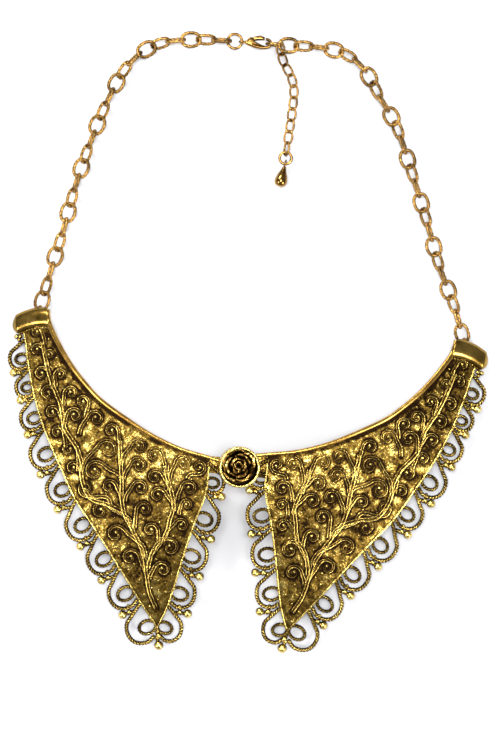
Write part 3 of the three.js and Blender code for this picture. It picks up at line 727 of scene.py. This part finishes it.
# start across, start down, head across, head down, head radius, turn
SCROLLS = [
    (-28.5, -43, -35, -34.4, 2.5, 1), (-29.5, -34, -40.5, -26.7, 2.6, 1),
    (-35, -24.5, -46.3, -19, 2.5, 1), (-39.5, -9, -49.3, -5.5, 3.0, 1),
    (-39.3, -15, -43.9, -10.4, 2.0, 1), (-43, -16.6, -51.8, -11.5, 2.2, -1),
    (-53.7, -6, -45, 2.4, 2.9, -1), (-40, -6, -44.5, 9, 2.0, 1),
    (-40, -2, -34.3, 4.2, 2.2, -1), (-24.5, -5, -28.9, 1.6, 2.2, 1),
    (-39, -7.5, -34, -2.3, 2.3, -1), (-23, -10, -28.2, -5.8, 2.2, 1),
    (-38, -15, -33, -10, 2.2, -1), (-20.7, -17, -26.8, -12, 2.2, 1),
    (-34, -24, -31, -17.2, 2.2, -1), (-25.5, -28, -28.5, -24.3, 2.1, 1),
    (-23, -6, -18.5, -0.2, 2.2, -1), (-17, -5.5, -13.3, -1, 1.9, 1),
    (-20, -13, -16, -8.8, 2.2, -1), (-19, -18, -16.5, -14.5, 1.5, -1),
    (-23.5, -27, -17.8, -21.8, 1.9, -1), (-27.8, -35, -21.3, -29.8, 2.8, -1),
    (-27.7, -41.5, -23.3, -37.7, 2.3, -1), (-55.5, 7, -50, 12.8, 2.3, -1),
    (-61, 9, -57.5, 13.3, 2.3, -1), (-61, 8, -65.7, 13.7, 2.0, 1),
    (-62.5, 14, -67.7, 20.3, 2.3, 1), (-66.5, 23, -70.5, 26.8, 2.1, 1),
    (-69, 30, -72.8, 34.9, 1.8, 1), (-70, 37, -73.3, 41, 1.5, 1),
    (-68.5, 29.5, -67.9, 33.6, 1.5, -1), (-65, 22.5, -63.5, 27, 1.7, -1),
    (-61.8, 16.5, -59.3, 21, 1.9, -1), (-53.8, 13, -55.3, 18.2, 1.9, 1),
    (-60, 2, -63.3, 7, 1.8, 1), (-55, -6, -58.7, 1.3, 2.4, 1),
    (-53.5, -9, -57, -5, 1.9, 1),
]  # fmt: skip
BAND = [
    (-0.72, -0.25), (-0.68, 0.28), (-0.54, 0.5), (-0.38, 0.34), (-0.18, 0.1), (0.18, 0.1),
    (0.38, 0.34), (0.54, 0.5), (0.68, 0.28), (0.72, -0.25),
]  # fmt: skip
WIDE_SWEEP, TIGHT_CURL = 1.3, 0.28  # where a scroll starts and ends, in head radii
STEM_STEP, SCROLL_STEP = 0.5, 0.3


def scroll(start_x, start_y, head_x, head_y, radius, turn_way):
    """The line of one scroll, from its stem into its head."""
    start, head = Vector((start_x, start_y, 0)), Vector((head_x, head_y, 0))
    spoke = start - head
    meets = math.atan2(spoke.y, spoke.x) + turn_way * math.acos(
        min(1, WIDE_SWEEP * radius / spoke.length)
    )

    def around(angle, r):
        return head + Vector((math.cos(angle), math.sin(angle), 0)) * r

    touch = around(meets, WIDE_SWEEP * radius)
    arriving = Vector((-math.sin(meets), math.cos(meets), 0)) * turn_way
    pull = 0.5 * (touch - start).length
    leave = start + Vector((0.1 * arriving.x, 1, 0)).normalized() * pull
    near = touch - arriving * pull
    path = [
        start * (1 - t) ** 3
        + leave * (3 * t * (1 - t) ** 2)
        + near * (3 * t * t * (1 - t))
        + touch * t**3
        for t in (i / 16 for i in range(16))
    ]
    for i in range(50):
        part = i / 49
        angle = meets + turn_way * math.radians(400) * part
        shrunk = WIDE_SWEEP + (TIGHT_CURL - WIDE_SWEEP) * part**0.8
        path.append(around(angle, radius * shrunk))
    return evenly(path, max(16, round(length(path) / SCROLL_STEP)))


def thinner(i, n):
    return 0.95 - 0.45 * i / n


vine_paths = [
    through(stem, round(length([Vector(p) for p in stem]) / STEM_STEP)) for stem in STEMS
]
scroll_paths = [scroll(*row) for row in SCROLLS]
stems = swept(laid(vine_paths), BAND)
heads = swept(laid(scroll_paths, 0.02), BAND, size=thinner)
eyes = joined([bead(path[-1], 0.55, 6) for path in scroll_paths], "eyes")
vines = joined([stems, heads, eyes], "vines")
both_wings(vines, "vines", cast_gold, by_height(0.06, 0.46))

# %% [markdown]
# The ground's wear grows with its height, as the rag wipes the high places. A dark line of
# painted shade is added right beside the vines and beside the rim, and a broad painted highlight
# on the high middle near the rosette. A search tree of points on those lines tells how near one
# is.

# %% The ground's patina, painted shade and painted highlight
rim_foot = [wing_point(i / 300, rim_width(i / 300) / row_length(i / 300)) for i in range(301)]
shading = [p for path in vine_paths + scroll_paths for p in path]
nearest = kdtree.KDTree(len(shading) + len(rim_foot))
for i, p in enumerate(shading + rim_foot):
    nearest.insert(p, i)
nearest.balance()


def ground_wear_and_painted_light(x, y, z):
    """Patina wiped by height, painted shade beside vines and rim, a painted highlight near the
    rosette.
    """
    lift = z - dome(x, y)
    if lift < UNDERSIDE:
        return 0.4
    gap = nearest.find(Vector((x, y, 0)))[2]
    # painted shade: a dark line right beside every vine and beside the rim
    painted_shade = 0.65 * max(0, 1 - max(0, gap - 0.75) / 0.75)
    # painted highlight: a broad bright patch on the high middle near the rosette
    painted_highlight = 0.4 * math.exp(-(((x + 28) / 20) ** 2) - ((y - 3) / 10) ** 2)
    return 0.44 + painted_highlight - painted_shade + lift / 0.5


both_wings(plate, "plate", cast_gold, ground_wear_and_painted_light)

# %% [markdown]
# Small grains fill what the vines leave free. They are placed by a fixed rule: the points of a
# spiral that are inside the plate, and far enough from every vine, are kept.

# %% Grains on the ground


def inside_plate(p, margin):
    """True where a point lies between the plate's three edges, by at least margin."""
    outline = neckline[::8] + inner_edge[::8] + outer_edge[::-8]
    crossings = 0
    for a, b in zip(outline, outline[1:] + outline[:1]):
        if (a.y > p.y) != (b.y > p.y) and p.x < a.x + (p.y - a.y) / (b.y - a.y) * (b.x - a.x):
            crossings += 1
    near = min((a - p).length for a in outline)
    return crossings % 2 == 1 and near > margin


noise.seed_set(3)
grains = []
for i in range(1100):
    angle, radius = 2.39996 * i, 1.55 * math.sqrt(i)
    p = Vector((-42 + radius * math.cos(angle) * 0.95, -4 + radius * math.sin(angle) * 1.15, 0))
    if inside_plate(p, 1.9) and nearest.find(p)[2] > 1.15:
        grains.append((p, 0.26 + 0.16 * noise.random()))
grain_beads = joined([bead(p, r, 4) for p, r in grains], "grains")
both_wings(grain_beads, "grains", cast_gold, by_height(-0.1, 0.3, 0.2))
print("grains on each wing:", len(grains))

# %% [markdown]
# Behind the rosette the two wings overlap in flat tabs on one rivet, and a loop is soldered
# under each smooth end for the chain. Little of this shows, so it is plain.

# %% Tabs and loops
LOOP_PLACE = Vector((-72.9, 49.2, 0))
END_SLOPE = math.atan(-2 * DOME_TOP * LOOP_PLACE.x / DOME_HALF**2)
loop_centre = on_dome(LOOP_PLACE, -2.1)
TAB_RADIUS, TAB_ROOT, TAB_ROUNDING = 2.9, -11.6, 0.1


def torus(name, centre, radius, wire, turned):
    """A ring of round wire, turned from lying flat by the given matrix."""
    bpy.ops.mesh.primitive_torus_add(
        major_radius=radius, minor_radius=wire, major_segments=40, minor_segments=12
    )
    made = bpy.context.object
    made.name = name
    made.data.transform(Matrix.Translation(centre) @ turned)
    return made


def loop_matrix(slope):
    """A ring on edge along the chain, square to the sloping plate above it."""
    upright = Vector((-math.sin(slope), 0, math.cos(slope)))
    along = Vector((0, 1, 0))
    return Matrix((along, upright, along.cross(upright))).transposed().to_4x4()


loop = torus("loop", loop_centre, 1.2, 0.35, loop_matrix(END_SLOPE))
both_wings(loop, "end_loop", rim_gold)


def tab(name, rivet, low, high, matrix, side):
    """A tab with a rounded end about the rivet, from the plate's inner edge."""
    arc = [
        (rivet.x + TAB_RADIUS * math.cos(a), rivet.y + TAB_RADIUS * math.sin(a))
        for a in (math.radians(-90 + 180 * i / 20) for i in range(21))
    ]
    shoulder = max(rivet.y + TAB_RADIUS, 1.6)
    outline = [
        (TAB_ROOT, rivet.y - TAB_RADIUS), *arc, (-6.5, shoulder), (TAB_ROOT, shoulder),
    ]  # fmt: skip
    curve = flat_curve(name, outline)
    curve.fill_mode = "BOTH"
    curve.extrude = (high - low) / 2 - TAB_ROUNDING
    curve.bevel_depth = TAB_ROUNDING
    curve.bevel_resolution = 3
    curve.offset = -TAB_ROUNDING
    block = meshed(curve)
    for v in block.data.vertices:
        v.co.z += (low + high) / 2 + dome(v.co.x, v.co.y)
    mark_wear_and_painted_light(block, lambda x, y, z: 0.4)
    block.data.transform(matrix)
    if side == "right":
        block.data.flip_normals()
    finish_piece(block, cast_gold, [f"{side}_wing"])


left_rivet = Vector((0, 0, 0))
right_rivet = turn.inverted() @ (-right_place)
right_rivet.x *= -1
tab("left_tab", left_rivet, -1.0, -0.1, LEFT, "left")
tab("right_tab", right_rivet, -2.2, -1.3, RIGHT, "right")

# %% [markdown]
# The rosette is a straight-walled cup with a rose in it. The cup starts as a cylinder whose top
# is inset and pushed down. A small bevel then rounds its edges, as casting does.

# %% The cup
CUP_RADIUS, CUP_HEIGHT, CUP_TILT = 7.05, 4.95, math.radians(9)
CUP_WALL, CUP_DEPTH = 0.95, 3.5
base_lift = 0.3 + CUP_RADIUS * math.sin(CUP_TILT)
CUP = (
    TO_ROW
    @ Matrix.Translation((0, 0, dome(0, 0) + base_lift))
    @ Matrix.Rotation(CUP_TILT, 4, "Y")
)


def cylinder(radius, depth, place, sides):
    """An upright cylinder, with its place in its mesh."""
    bpy.ops.mesh.primitive_cylinder_add(
        vertices=sides, radius=radius, depth=depth, location=place
    )
    bpy.ops.object.transform_apply(location=True, rotation=False, scale=False)
    return bpy.context.object


def soften(piece, width, segments):
    """Rounds the sharp edges of the active piece."""
    soft = piece.modifiers.new("soft", "BEVEL")
    soft.width = width
    soft.segments = segments
    soft.limit_method = "ANGLE"
    bpy.ops.object.modifier_apply(modifier="soft")


cup = cylinder(CUP_RADIUS, CUP_HEIGHT, (0, 0, CUP_HEIGHT / 2), 64)
bpy.context.tool_settings.mesh_select_mode = (False, False, True)  # faces
for face in cup.data.polygons:
    face.select = face.normal.z > 0.9
bpy.ops.object.mode_set(mode="EDIT")
bpy.ops.mesh.inset(thickness=CUP_WALL, depth=0)
bpy.ops.mesh.extrude_region_move(TRANSFORM_OT_translate={"value": (0, 0, -CUP_DEPTH)})
bpy.ops.object.mode_set(mode="OBJECT")
soften(cup, 0.38, 4)
cup.name = "rosette_cup"
mark_wear_and_painted_light(cup, lambda x, y, z: 0.85 if math.hypot(x, y) > 6.25 else 0.05)
cup.data.transform(CUP)
finish_piece(cup, cast_gold, ["rosette"])

# %% [markdown]
# The rose is three rounds of cupped petals about a bud. Each petal is a small grid, bent round
# the middle, with its lip rolled outwards. Noise makes the lips uneven and sets where the rag
# has reached.

# %% The rose
# heading in degrees, inner radius, outer radius, height, half width in degrees
PETALS = [
    (20, 3.0, 5.5, 2.6, 50), (95, 3.1, 5.6, 2.4, 42), (165, 3.0, 5.4, 2.8, 52),
    (238, 3.2, 5.6, 2.3, 48), (305, 3.0, 5.3, 2.7, 46), (60, 1.6, 3.8, 3.1, 58),
    (178, 1.8, 4.0, 2.9, 62), (290, 1.7, 3.6, 3.2, 55), (10, 0.6, 2.2, 3.4, 80),
    (130, 0.7, 2.4, 3.3, 70), (240, 0.6, 2.0, 3.5, 75), (60, 0.15, 0.9, 3.6, 120),
    (230, 0.15, 1.0, 3.5, 110),
]  # fmt: skip
PETAL_FOOT = 1.45


def petal(heading, inner, outer, height, half):
    """One cupped petal with a rolled, uneven lip."""

    def place(u, v):
        side = 2 * u - 1
        angle = math.radians(heading + side * half)
        lip = max(0, v - 0.7) / 0.3
        ripple = noise.noise(Vector((2.6 * side, 0.37 * heading, inner)))
        fold = noise.noise(Vector((3.5 * side, 1.9 * v, 0.53 * heading)))
        radius = inner + (outer - inner) * v**0.7 + 0.55 * lip**2 + 0.6 * v * ripple
        radius *= 1 - 0.12 * side * side
        rise = PETAL_FOOT + height * v**0.8 * (1 - 0.3 * side * side) - 0.45 * lip**2
        rise += 0.35 * v * min(fold, 0)
        return Vector((radius * math.cos(angle), radius * math.sin(angle), rise))

    sheet = loft(14, 20, place, thickness=0.36)
    lip_edge = PETAL_FOOT + 0.6 * height

    def speckled(x, y, z):
        bare = max(0, noise.noise(Vector((x, y, z + heading)) * 1.5))
        return 0.85 * (z - lip_edge) / (0.4 * height) - 0.05 + 1.6 * bare

    mark_wear_and_painted_light(sheet, speckled)
    return sheet


petals = [petal(*row) for row in PETALS]
rose = joined(petals, "rose")
rose.data.transform(CUP @ Matrix.Translation((-0.2, 0.5, 0)))
finish_piece(rose, dark_gold, ["rosette"])

# %% [markdown]
# A post under the cup goes through both tabs and ends in a flat head. Only the head can be
# seen, from below.

# %% The rivet
post = cylinder(1.1, 6.6, (0, 0, -0.4), 32)
rivet_head = cylinder(2.4, 0.8, (0, 0, -3.59), 40)
rivet = joined([post, rivet_head], "rivet")
rivet.data.transform(TO_ROW @ Matrix.Translation((0, 0, dome(0, 0))))
finish_piece(rivet, rim_gold, ["rosette"])

# %% [markdown]
# A cable chain is made of equal oval links of round wire, each turned against the next. One
# torus is stretched to the link's shape, and a copy is set at each place. The places repeat the
# solids' rule: even steps along the route, and a fixed row of turns. Small cuts round the wire
# break its shine into dots. They are shallower on the links that lie flat.

# %% Chains
table_height = min(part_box(n)[0].z for n in ("left_wing", "right_wing")) / MM - SHIFT.z
CHAIN_HEIGHT = 3.45
LINK_SEAT = 0.16
CUTS = 16
CUT_DEPTH = 0.26  # as a share of the wire
SIDE_TRIM = 0.12  # keeps the links' sides inside the solids' box
LEFT_ROUTE = [
    (-70.2, 62.5), (-67, 76), (-64, 91.5), (-60, 107), (-55, 122.5), (-50, 134), (-45, 140.5),
    (-37.5, 145), (-26, 147),
]  # fmt: skip
RIGHT_ROUTE = [
    (20.5, 147.3), (28, 145.5), (34.5, 140.3), (40, 131.5), (46, 123), (51.5, 110),
    (56.5, 97.5), (61, 85.5), (65.5, 73), (70.5, 62.5),
]  # fmt: skip


def on_table(x, y, height):
    return Vector((x, y, table_height + height))


def link_mesh(long, wide, wire, facets):
    """One oval link of round wire, long and wide to the wire's middle, lying along X."""
    bpy.ops.mesh.primitive_torus_add(
        major_radius=1, minor_radius=0.2, major_segments=6 * CUTS, minor_segments=10
    )
    model = bpy.context.object
    for v in model.data.vertices:
        angle = math.atan2(v.co.y, v.co.x)
        out = math.hypot(v.co.x, v.co.y) - 1
        straight = Vector((math.cos(angle), math.sin(angle), 0))
        # a link's sides are flatter than an ellipse's
        shape = Vector((
            long * math.copysign(abs(straight.x) ** 0.86, straight.x),
            wide * math.copysign(abs(straight.y) ** 0.86, straight.y),
            0,
        ))
        normal = Vector((straight.x / long, straight.y / wide, 0)).normalized()
        thick = wire * (1 - facets * (0.5 + 0.5 * math.cos(CUTS * angle)))
        v.co = shape + normal * (out / 0.2 * thick) + Vector((0, 0, v.co.z / 0.2 * thick))
    return model


def chain(name, route, rolls, last_place, ends, pitch, wire, width, fuller):
    """Links along a route, in the rosette's millimetres, joined to one piece.

    The wire is fuller than the solids' wire, as plating and glare make it look, and the
    links are hardly wider. ends holds the turns of the first and the last link.
    """
    dense = through(route, 400)
    turns = round((length(dense) / pitch - 1 - last_place) / len(rolls))
    count = turns * len(rolls) + 1 + last_place
    meets = evenly(dense, count)
    span = (meets[2] - meets[1]).length
    thick = wire + fuller
    long = (span + wire - LINK_SEAT) / 2 + fuller / 4
    size = (long, (width - thick) / 2 - SIDE_TRIM, thick / 2)
    worn = link_mesh(*size, 0.6 * CUT_DEPTH)
    cut = link_mesh(*size, CUT_DEPTH)
    links = []
    for i, (a, b) in enumerate(zip(meets, meets[1:])):
        along = (b - a).normalized()
        roll = rolls[i % len(rolls)]
        if i in (0, count - 1) and ends[i > 0] is not None:
            roll = ends[i > 0]
        across = Vector((0, 0, 1)).cross(along).normalized()
        across.rotate(Matrix.Rotation(math.radians(roll), 3, along))
        axes = Matrix((along, across, along.cross(across))).transposed().to_4x4()
        model = worn if roll == 0 else cut
        copy = model.copy()
        copy.data = model.data.copy()
        copy.data.transform(TO_ROW @ Matrix.Translation((a + b) / 2) @ axes)
        bpy.context.collection.objects.link(copy)
        links.append(copy)
    for model in (worn, cut):
        bpy.data.objects.remove(model)
    print(name, count, "links, pitch", round(span, 2), "mm")
    return joined(links, name)


mirrored = Vector((-loop_centre.x, loop_centre.y, 0))
right_loop = turn @ mirrored + right_place
right_loop.z = loop_centre.z
END_REACH = (1.0 - LINK_SEAT) / 2
PLAY = 0.3  # free space between two wires that hang in each other
CLASP_RING, HOOK_RING, DROP_RING = 2.75, 2.95, 2.1  # radii of the solids' rings
clasp_ring_place = on_table(-11.9, 147.4, CHAIN_HEIGHT)
clasp_eye = clasp_ring_place + Vector((CLASP_RING, 0, 0))
hook_ring_place = clasp_eye + Vector((8.35 + HOOK_RING, -0.1, 0))
WIRE_GAP = 0.5 + PLAY + 0.45
TILT = math.degrees(END_SLOPE)
left_route = [
    loop_centre + Vector((0, END_REACH, 0)),
    *(on_table(x, y, CHAIN_HEIGHT) for x, y in LEFT_ROUTE),
    clasp_ring_place + Vector((WIRE_GAP - CLASP_RING - END_REACH, 0, 0)),
]
right_route = [
    hook_ring_place + Vector((HOOK_RING - WIRE_GAP + END_REACH, 0, 0)),
    *(on_table(x, y, CHAIN_HEIGHT) for x, y in RIGHT_ROUTE),
    right_loop + Vector((0, END_REACH, 0)),
]
ROLLS = [0, 58, 106]
for side, route, last_place, ends in (
    ("left", left_route, 2, (TILT, None)),
    ("right", right_route, 0, (None, -TILT)),
):
    name = f"{side}_links"
    links = chain(
        name, route, ROLLS, last_place, ends, pitch=5.3, wire=1.0, width=6.3, fuller=0.3
    )
    finish_piece(links, chain_gold, [f"{side}_chain"])

# %% [markdown]
# The extender is a finer chain that hangs from the hook ring. A small ring at its end carries
# the drop.

# %% Extender, rings and drop
lean = math.radians(-45)
SMALL_REACH = (0.8 - LINK_SEAT) / 2
SMALL_HEIGHT = 1.95
extender_start = hook_ring_place + Vector((
    2.65 * math.cos(lean), 0.45 + PLAY + 0.4 - SMALL_REACH, 2.65 * math.sin(lean),
))
EXTENDER_END = (8.75, 109.5)
DROP_LENGTH, DROP_RADIUS = 7.2, 2.2
EXTENDER_ROUTE = [(4.4, 144.3), (6, 140.8), (8.2, 137.6), (9.8, 133.8), (9.7, 122), (9.2, 116)]
extender_route = [
    extender_start,
    *(on_table(x, y, SMALL_HEIGHT) for x, y in [*EXTENDER_ROUTE, EXTENDER_END]),
]
name, rolls, ends = "extender_links", [-30, 34], (None, 60)
extender = chain(
    name, extender_route, rolls, 1, ends, pitch=3.9, wire=0.8, width=4.2, fuller=0.08
)
finish_piece(extender, chain_gold, ["extender_chain"])

FLAT = Matrix.Identity(4)
ON_EDGE = Matrix.Rotation(math.pi / 2, 4, "X")
drop_ring_place = on_table(*EXTENDER_END, (SMALL_HEIGHT + DROP_RADIUS) / 2)
drop_ring_place.y += 0.4 + PLAY + 0.4 - SMALL_REACH - DROP_RING
# the clasp ring is drawn a little smaller than its solid
for name, place, radius, wire, turned in (
    ("clasp_ring", clasp_ring_place, 2.52, 0.48, FLAT),
    ("hook_ring", hook_ring_place, HOOK_RING, 0.5, ON_EDGE),
    ("drop_ring", drop_ring_place, DROP_RING, 0.46, FLAT),
):
    ring = torus(f"{name}_wire", place, radius, wire, turned)
    ring.data.transform(TO_ROW)
    finish_piece(ring, chain_gold, [name])

# radius and distance from the loop, as shares of the drop's radius and length
DROP_SHAPE = [
    (0.0, 0.0), (0.28, 0.0), (0.32, 0.07), (0.44, 0.16), (0.6, 0.28), (0.76, 0.4),
    (0.9, 0.52), (0.99, 0.64), (1.0, 0.72), (0.93, 0.83), (0.76, 0.92), (0.45, 0.98),
    (0.0, 1.0),
]  # fmt: skip
shape_line = through([(r * DROP_RADIUS, a * DROP_LENGTH) for r, a in DROP_SHAPE], 40)
drop_mesh = bpy.data.meshes.new("drop_line")
drop_mesh.from_pydata(
    [(a.y, abs(a.x), 0) for a in shape_line], [(i, i + 1) for i in range(40)], []
)
drop = bpy.data.objects.new("drop_body", drop_mesh)
bpy.context.collection.objects.link(drop)
select(drop)
bpy.ops.object.mode_set(mode="EDIT")
bpy.ops.mesh.select_all(action="SELECT")
bpy.ops.mesh.spin(
    steps=48, angle=math.tau, center=(0, 0, 0), axis=(1, 0, 0), use_auto_merge=True
)
bpy.ops.object.mode_set(mode="OBJECT")
outward(drop)
LOOP_RADIUS = 0.4 + 0.45 + 0.35
drop.data.transform(Matrix.Translation((LOOP_RADIUS - 0.175, 0, 0)))
drop_loop = torus("drop_loop", Vector((0, 0, 0)), LOOP_RADIUS, 0.35, ON_EDGE)
drop = joined([drop, drop_loop], "drop_body")
drop_place = drop_ring_place + Vector((0, -DROP_RING, 0))
drop_place.z = table_height + DROP_RADIUS
drop.data.transform(
    TO_ROW @ Matrix.Translation(drop_place) @ Matrix.Rotation(math.radians(-100), 4, "Z")
)
finish_piece(drop, chain_gold, ["drop"])

# %% [markdown]
# A lobster clasp is a flattened hook with a sprung lever. The hook is a bar swept along its
# bend, thinner towards the nose. Cheeks hold the lever on a pin, and a loop at the back takes
# the ring.

# %% The clasp
CLASP = TO_ROW @ Matrix.Translation(clasp_eye)
PIVOT = Vector((2.9, 0.4, 0))
HOOK = [
    (0.95, 0.0), (2.1, -0.55), (3.4, -1), (5.4, -1.45), (7.7, -1.5), (9.2, -1.1), (9.85, -0.1),
    (9.5, 0.9), (8.5, 1.45), (8, 1.5),
]  # fmt: skip


def oval(half_width, half_height):
    """The section of a flattened bar."""
    angles = [math.tau * i / 16 for i in range(16)]
    return [(half_width * math.cos(a), half_height * math.sin(a)) for a in angles]


BELLY = [(2.3, 0), (3.6, -0.2), (5.2, -0.62), (6.8, -1.1), (8.2, -1.2)]
hook, belly = (
    swept([through(line, steps)], oval(0.55, 1.0), size=size)
    for line, steps, size in (
        (HOOK, 60, lambda i, n: 1.15 - 0.15 * i / n),
        (BELLY, 30, lambda i, n: 1.5 - 0.95 * (i / n) ** 2),
    )
)


def button(radius, height, place, rounding):
    """A short upright cylinder with rounded edges."""
    made = cylinder(radius, height, place, 40)
    soften(made, rounding, 3)
    return made


cheeks = []
for side in (-1, 1):
    cheeks.append(button(1.33, 0.48, PIVOT + Vector((0, 0, side * 1.0)), 0.18))
    cheeks.append(button(0.42, 0.2, PIVOT + Vector((0, 0, side * 1.2)), 0.08))
pin = button(0.4, 2.3, PIVOT, 0.05)
neck = swept([[(0.9, 0, 0), (1.5, 0.05, 0), (2.3, 0.1, 0)]], oval(0.62, 1.1))
eye = torus("eye", Vector((0, 0, 0)), 1.2, 0.35, ON_EDGE)
clasp = joined([hook, belly, *cheeks, pin, neck, eye], "clasp_hook")
clasp.data.transform(CLASP)
finish_piece(clasp, chain_gold, ["clasp_body"])

# %% [markdown]
# The lever is a leaf-shaped bar on the pin, with a small knob for the thumb. It closes the
# hook's mouth from inside, and it is the one piece that moves.

# %% The lever
LEVER = [(0.0, 0.35), (1.5, 1.05), (3.3, 1.36), (4.65, 1.2)]
lever_line = [Vector((x + PIVOT.x, y + PIVOT.y, 0)) for x, y in LEVER]


def lever_size(i, n):
    """A leaf: widest in the middle."""
    return 0.85 + 2.0 * (i / n) * (1 - i / n)


lever_bar = swept([through(lever_line, 30)], oval(0.62, 0.44), size=lever_size)
lever_end = button(1.02, 0.86, PIVOT, 0.15)
thumb = button(0.38, 0.84, PIVOT + Vector((3.2, 1.95, 0)), 0.2)
lever = joined([lever_bar, lever_end, thumb], "clasp_lever_bar")
lever.data.transform(CLASP)
finish_piece(lever, chain_gold, ["clasp_lever"], "lever")
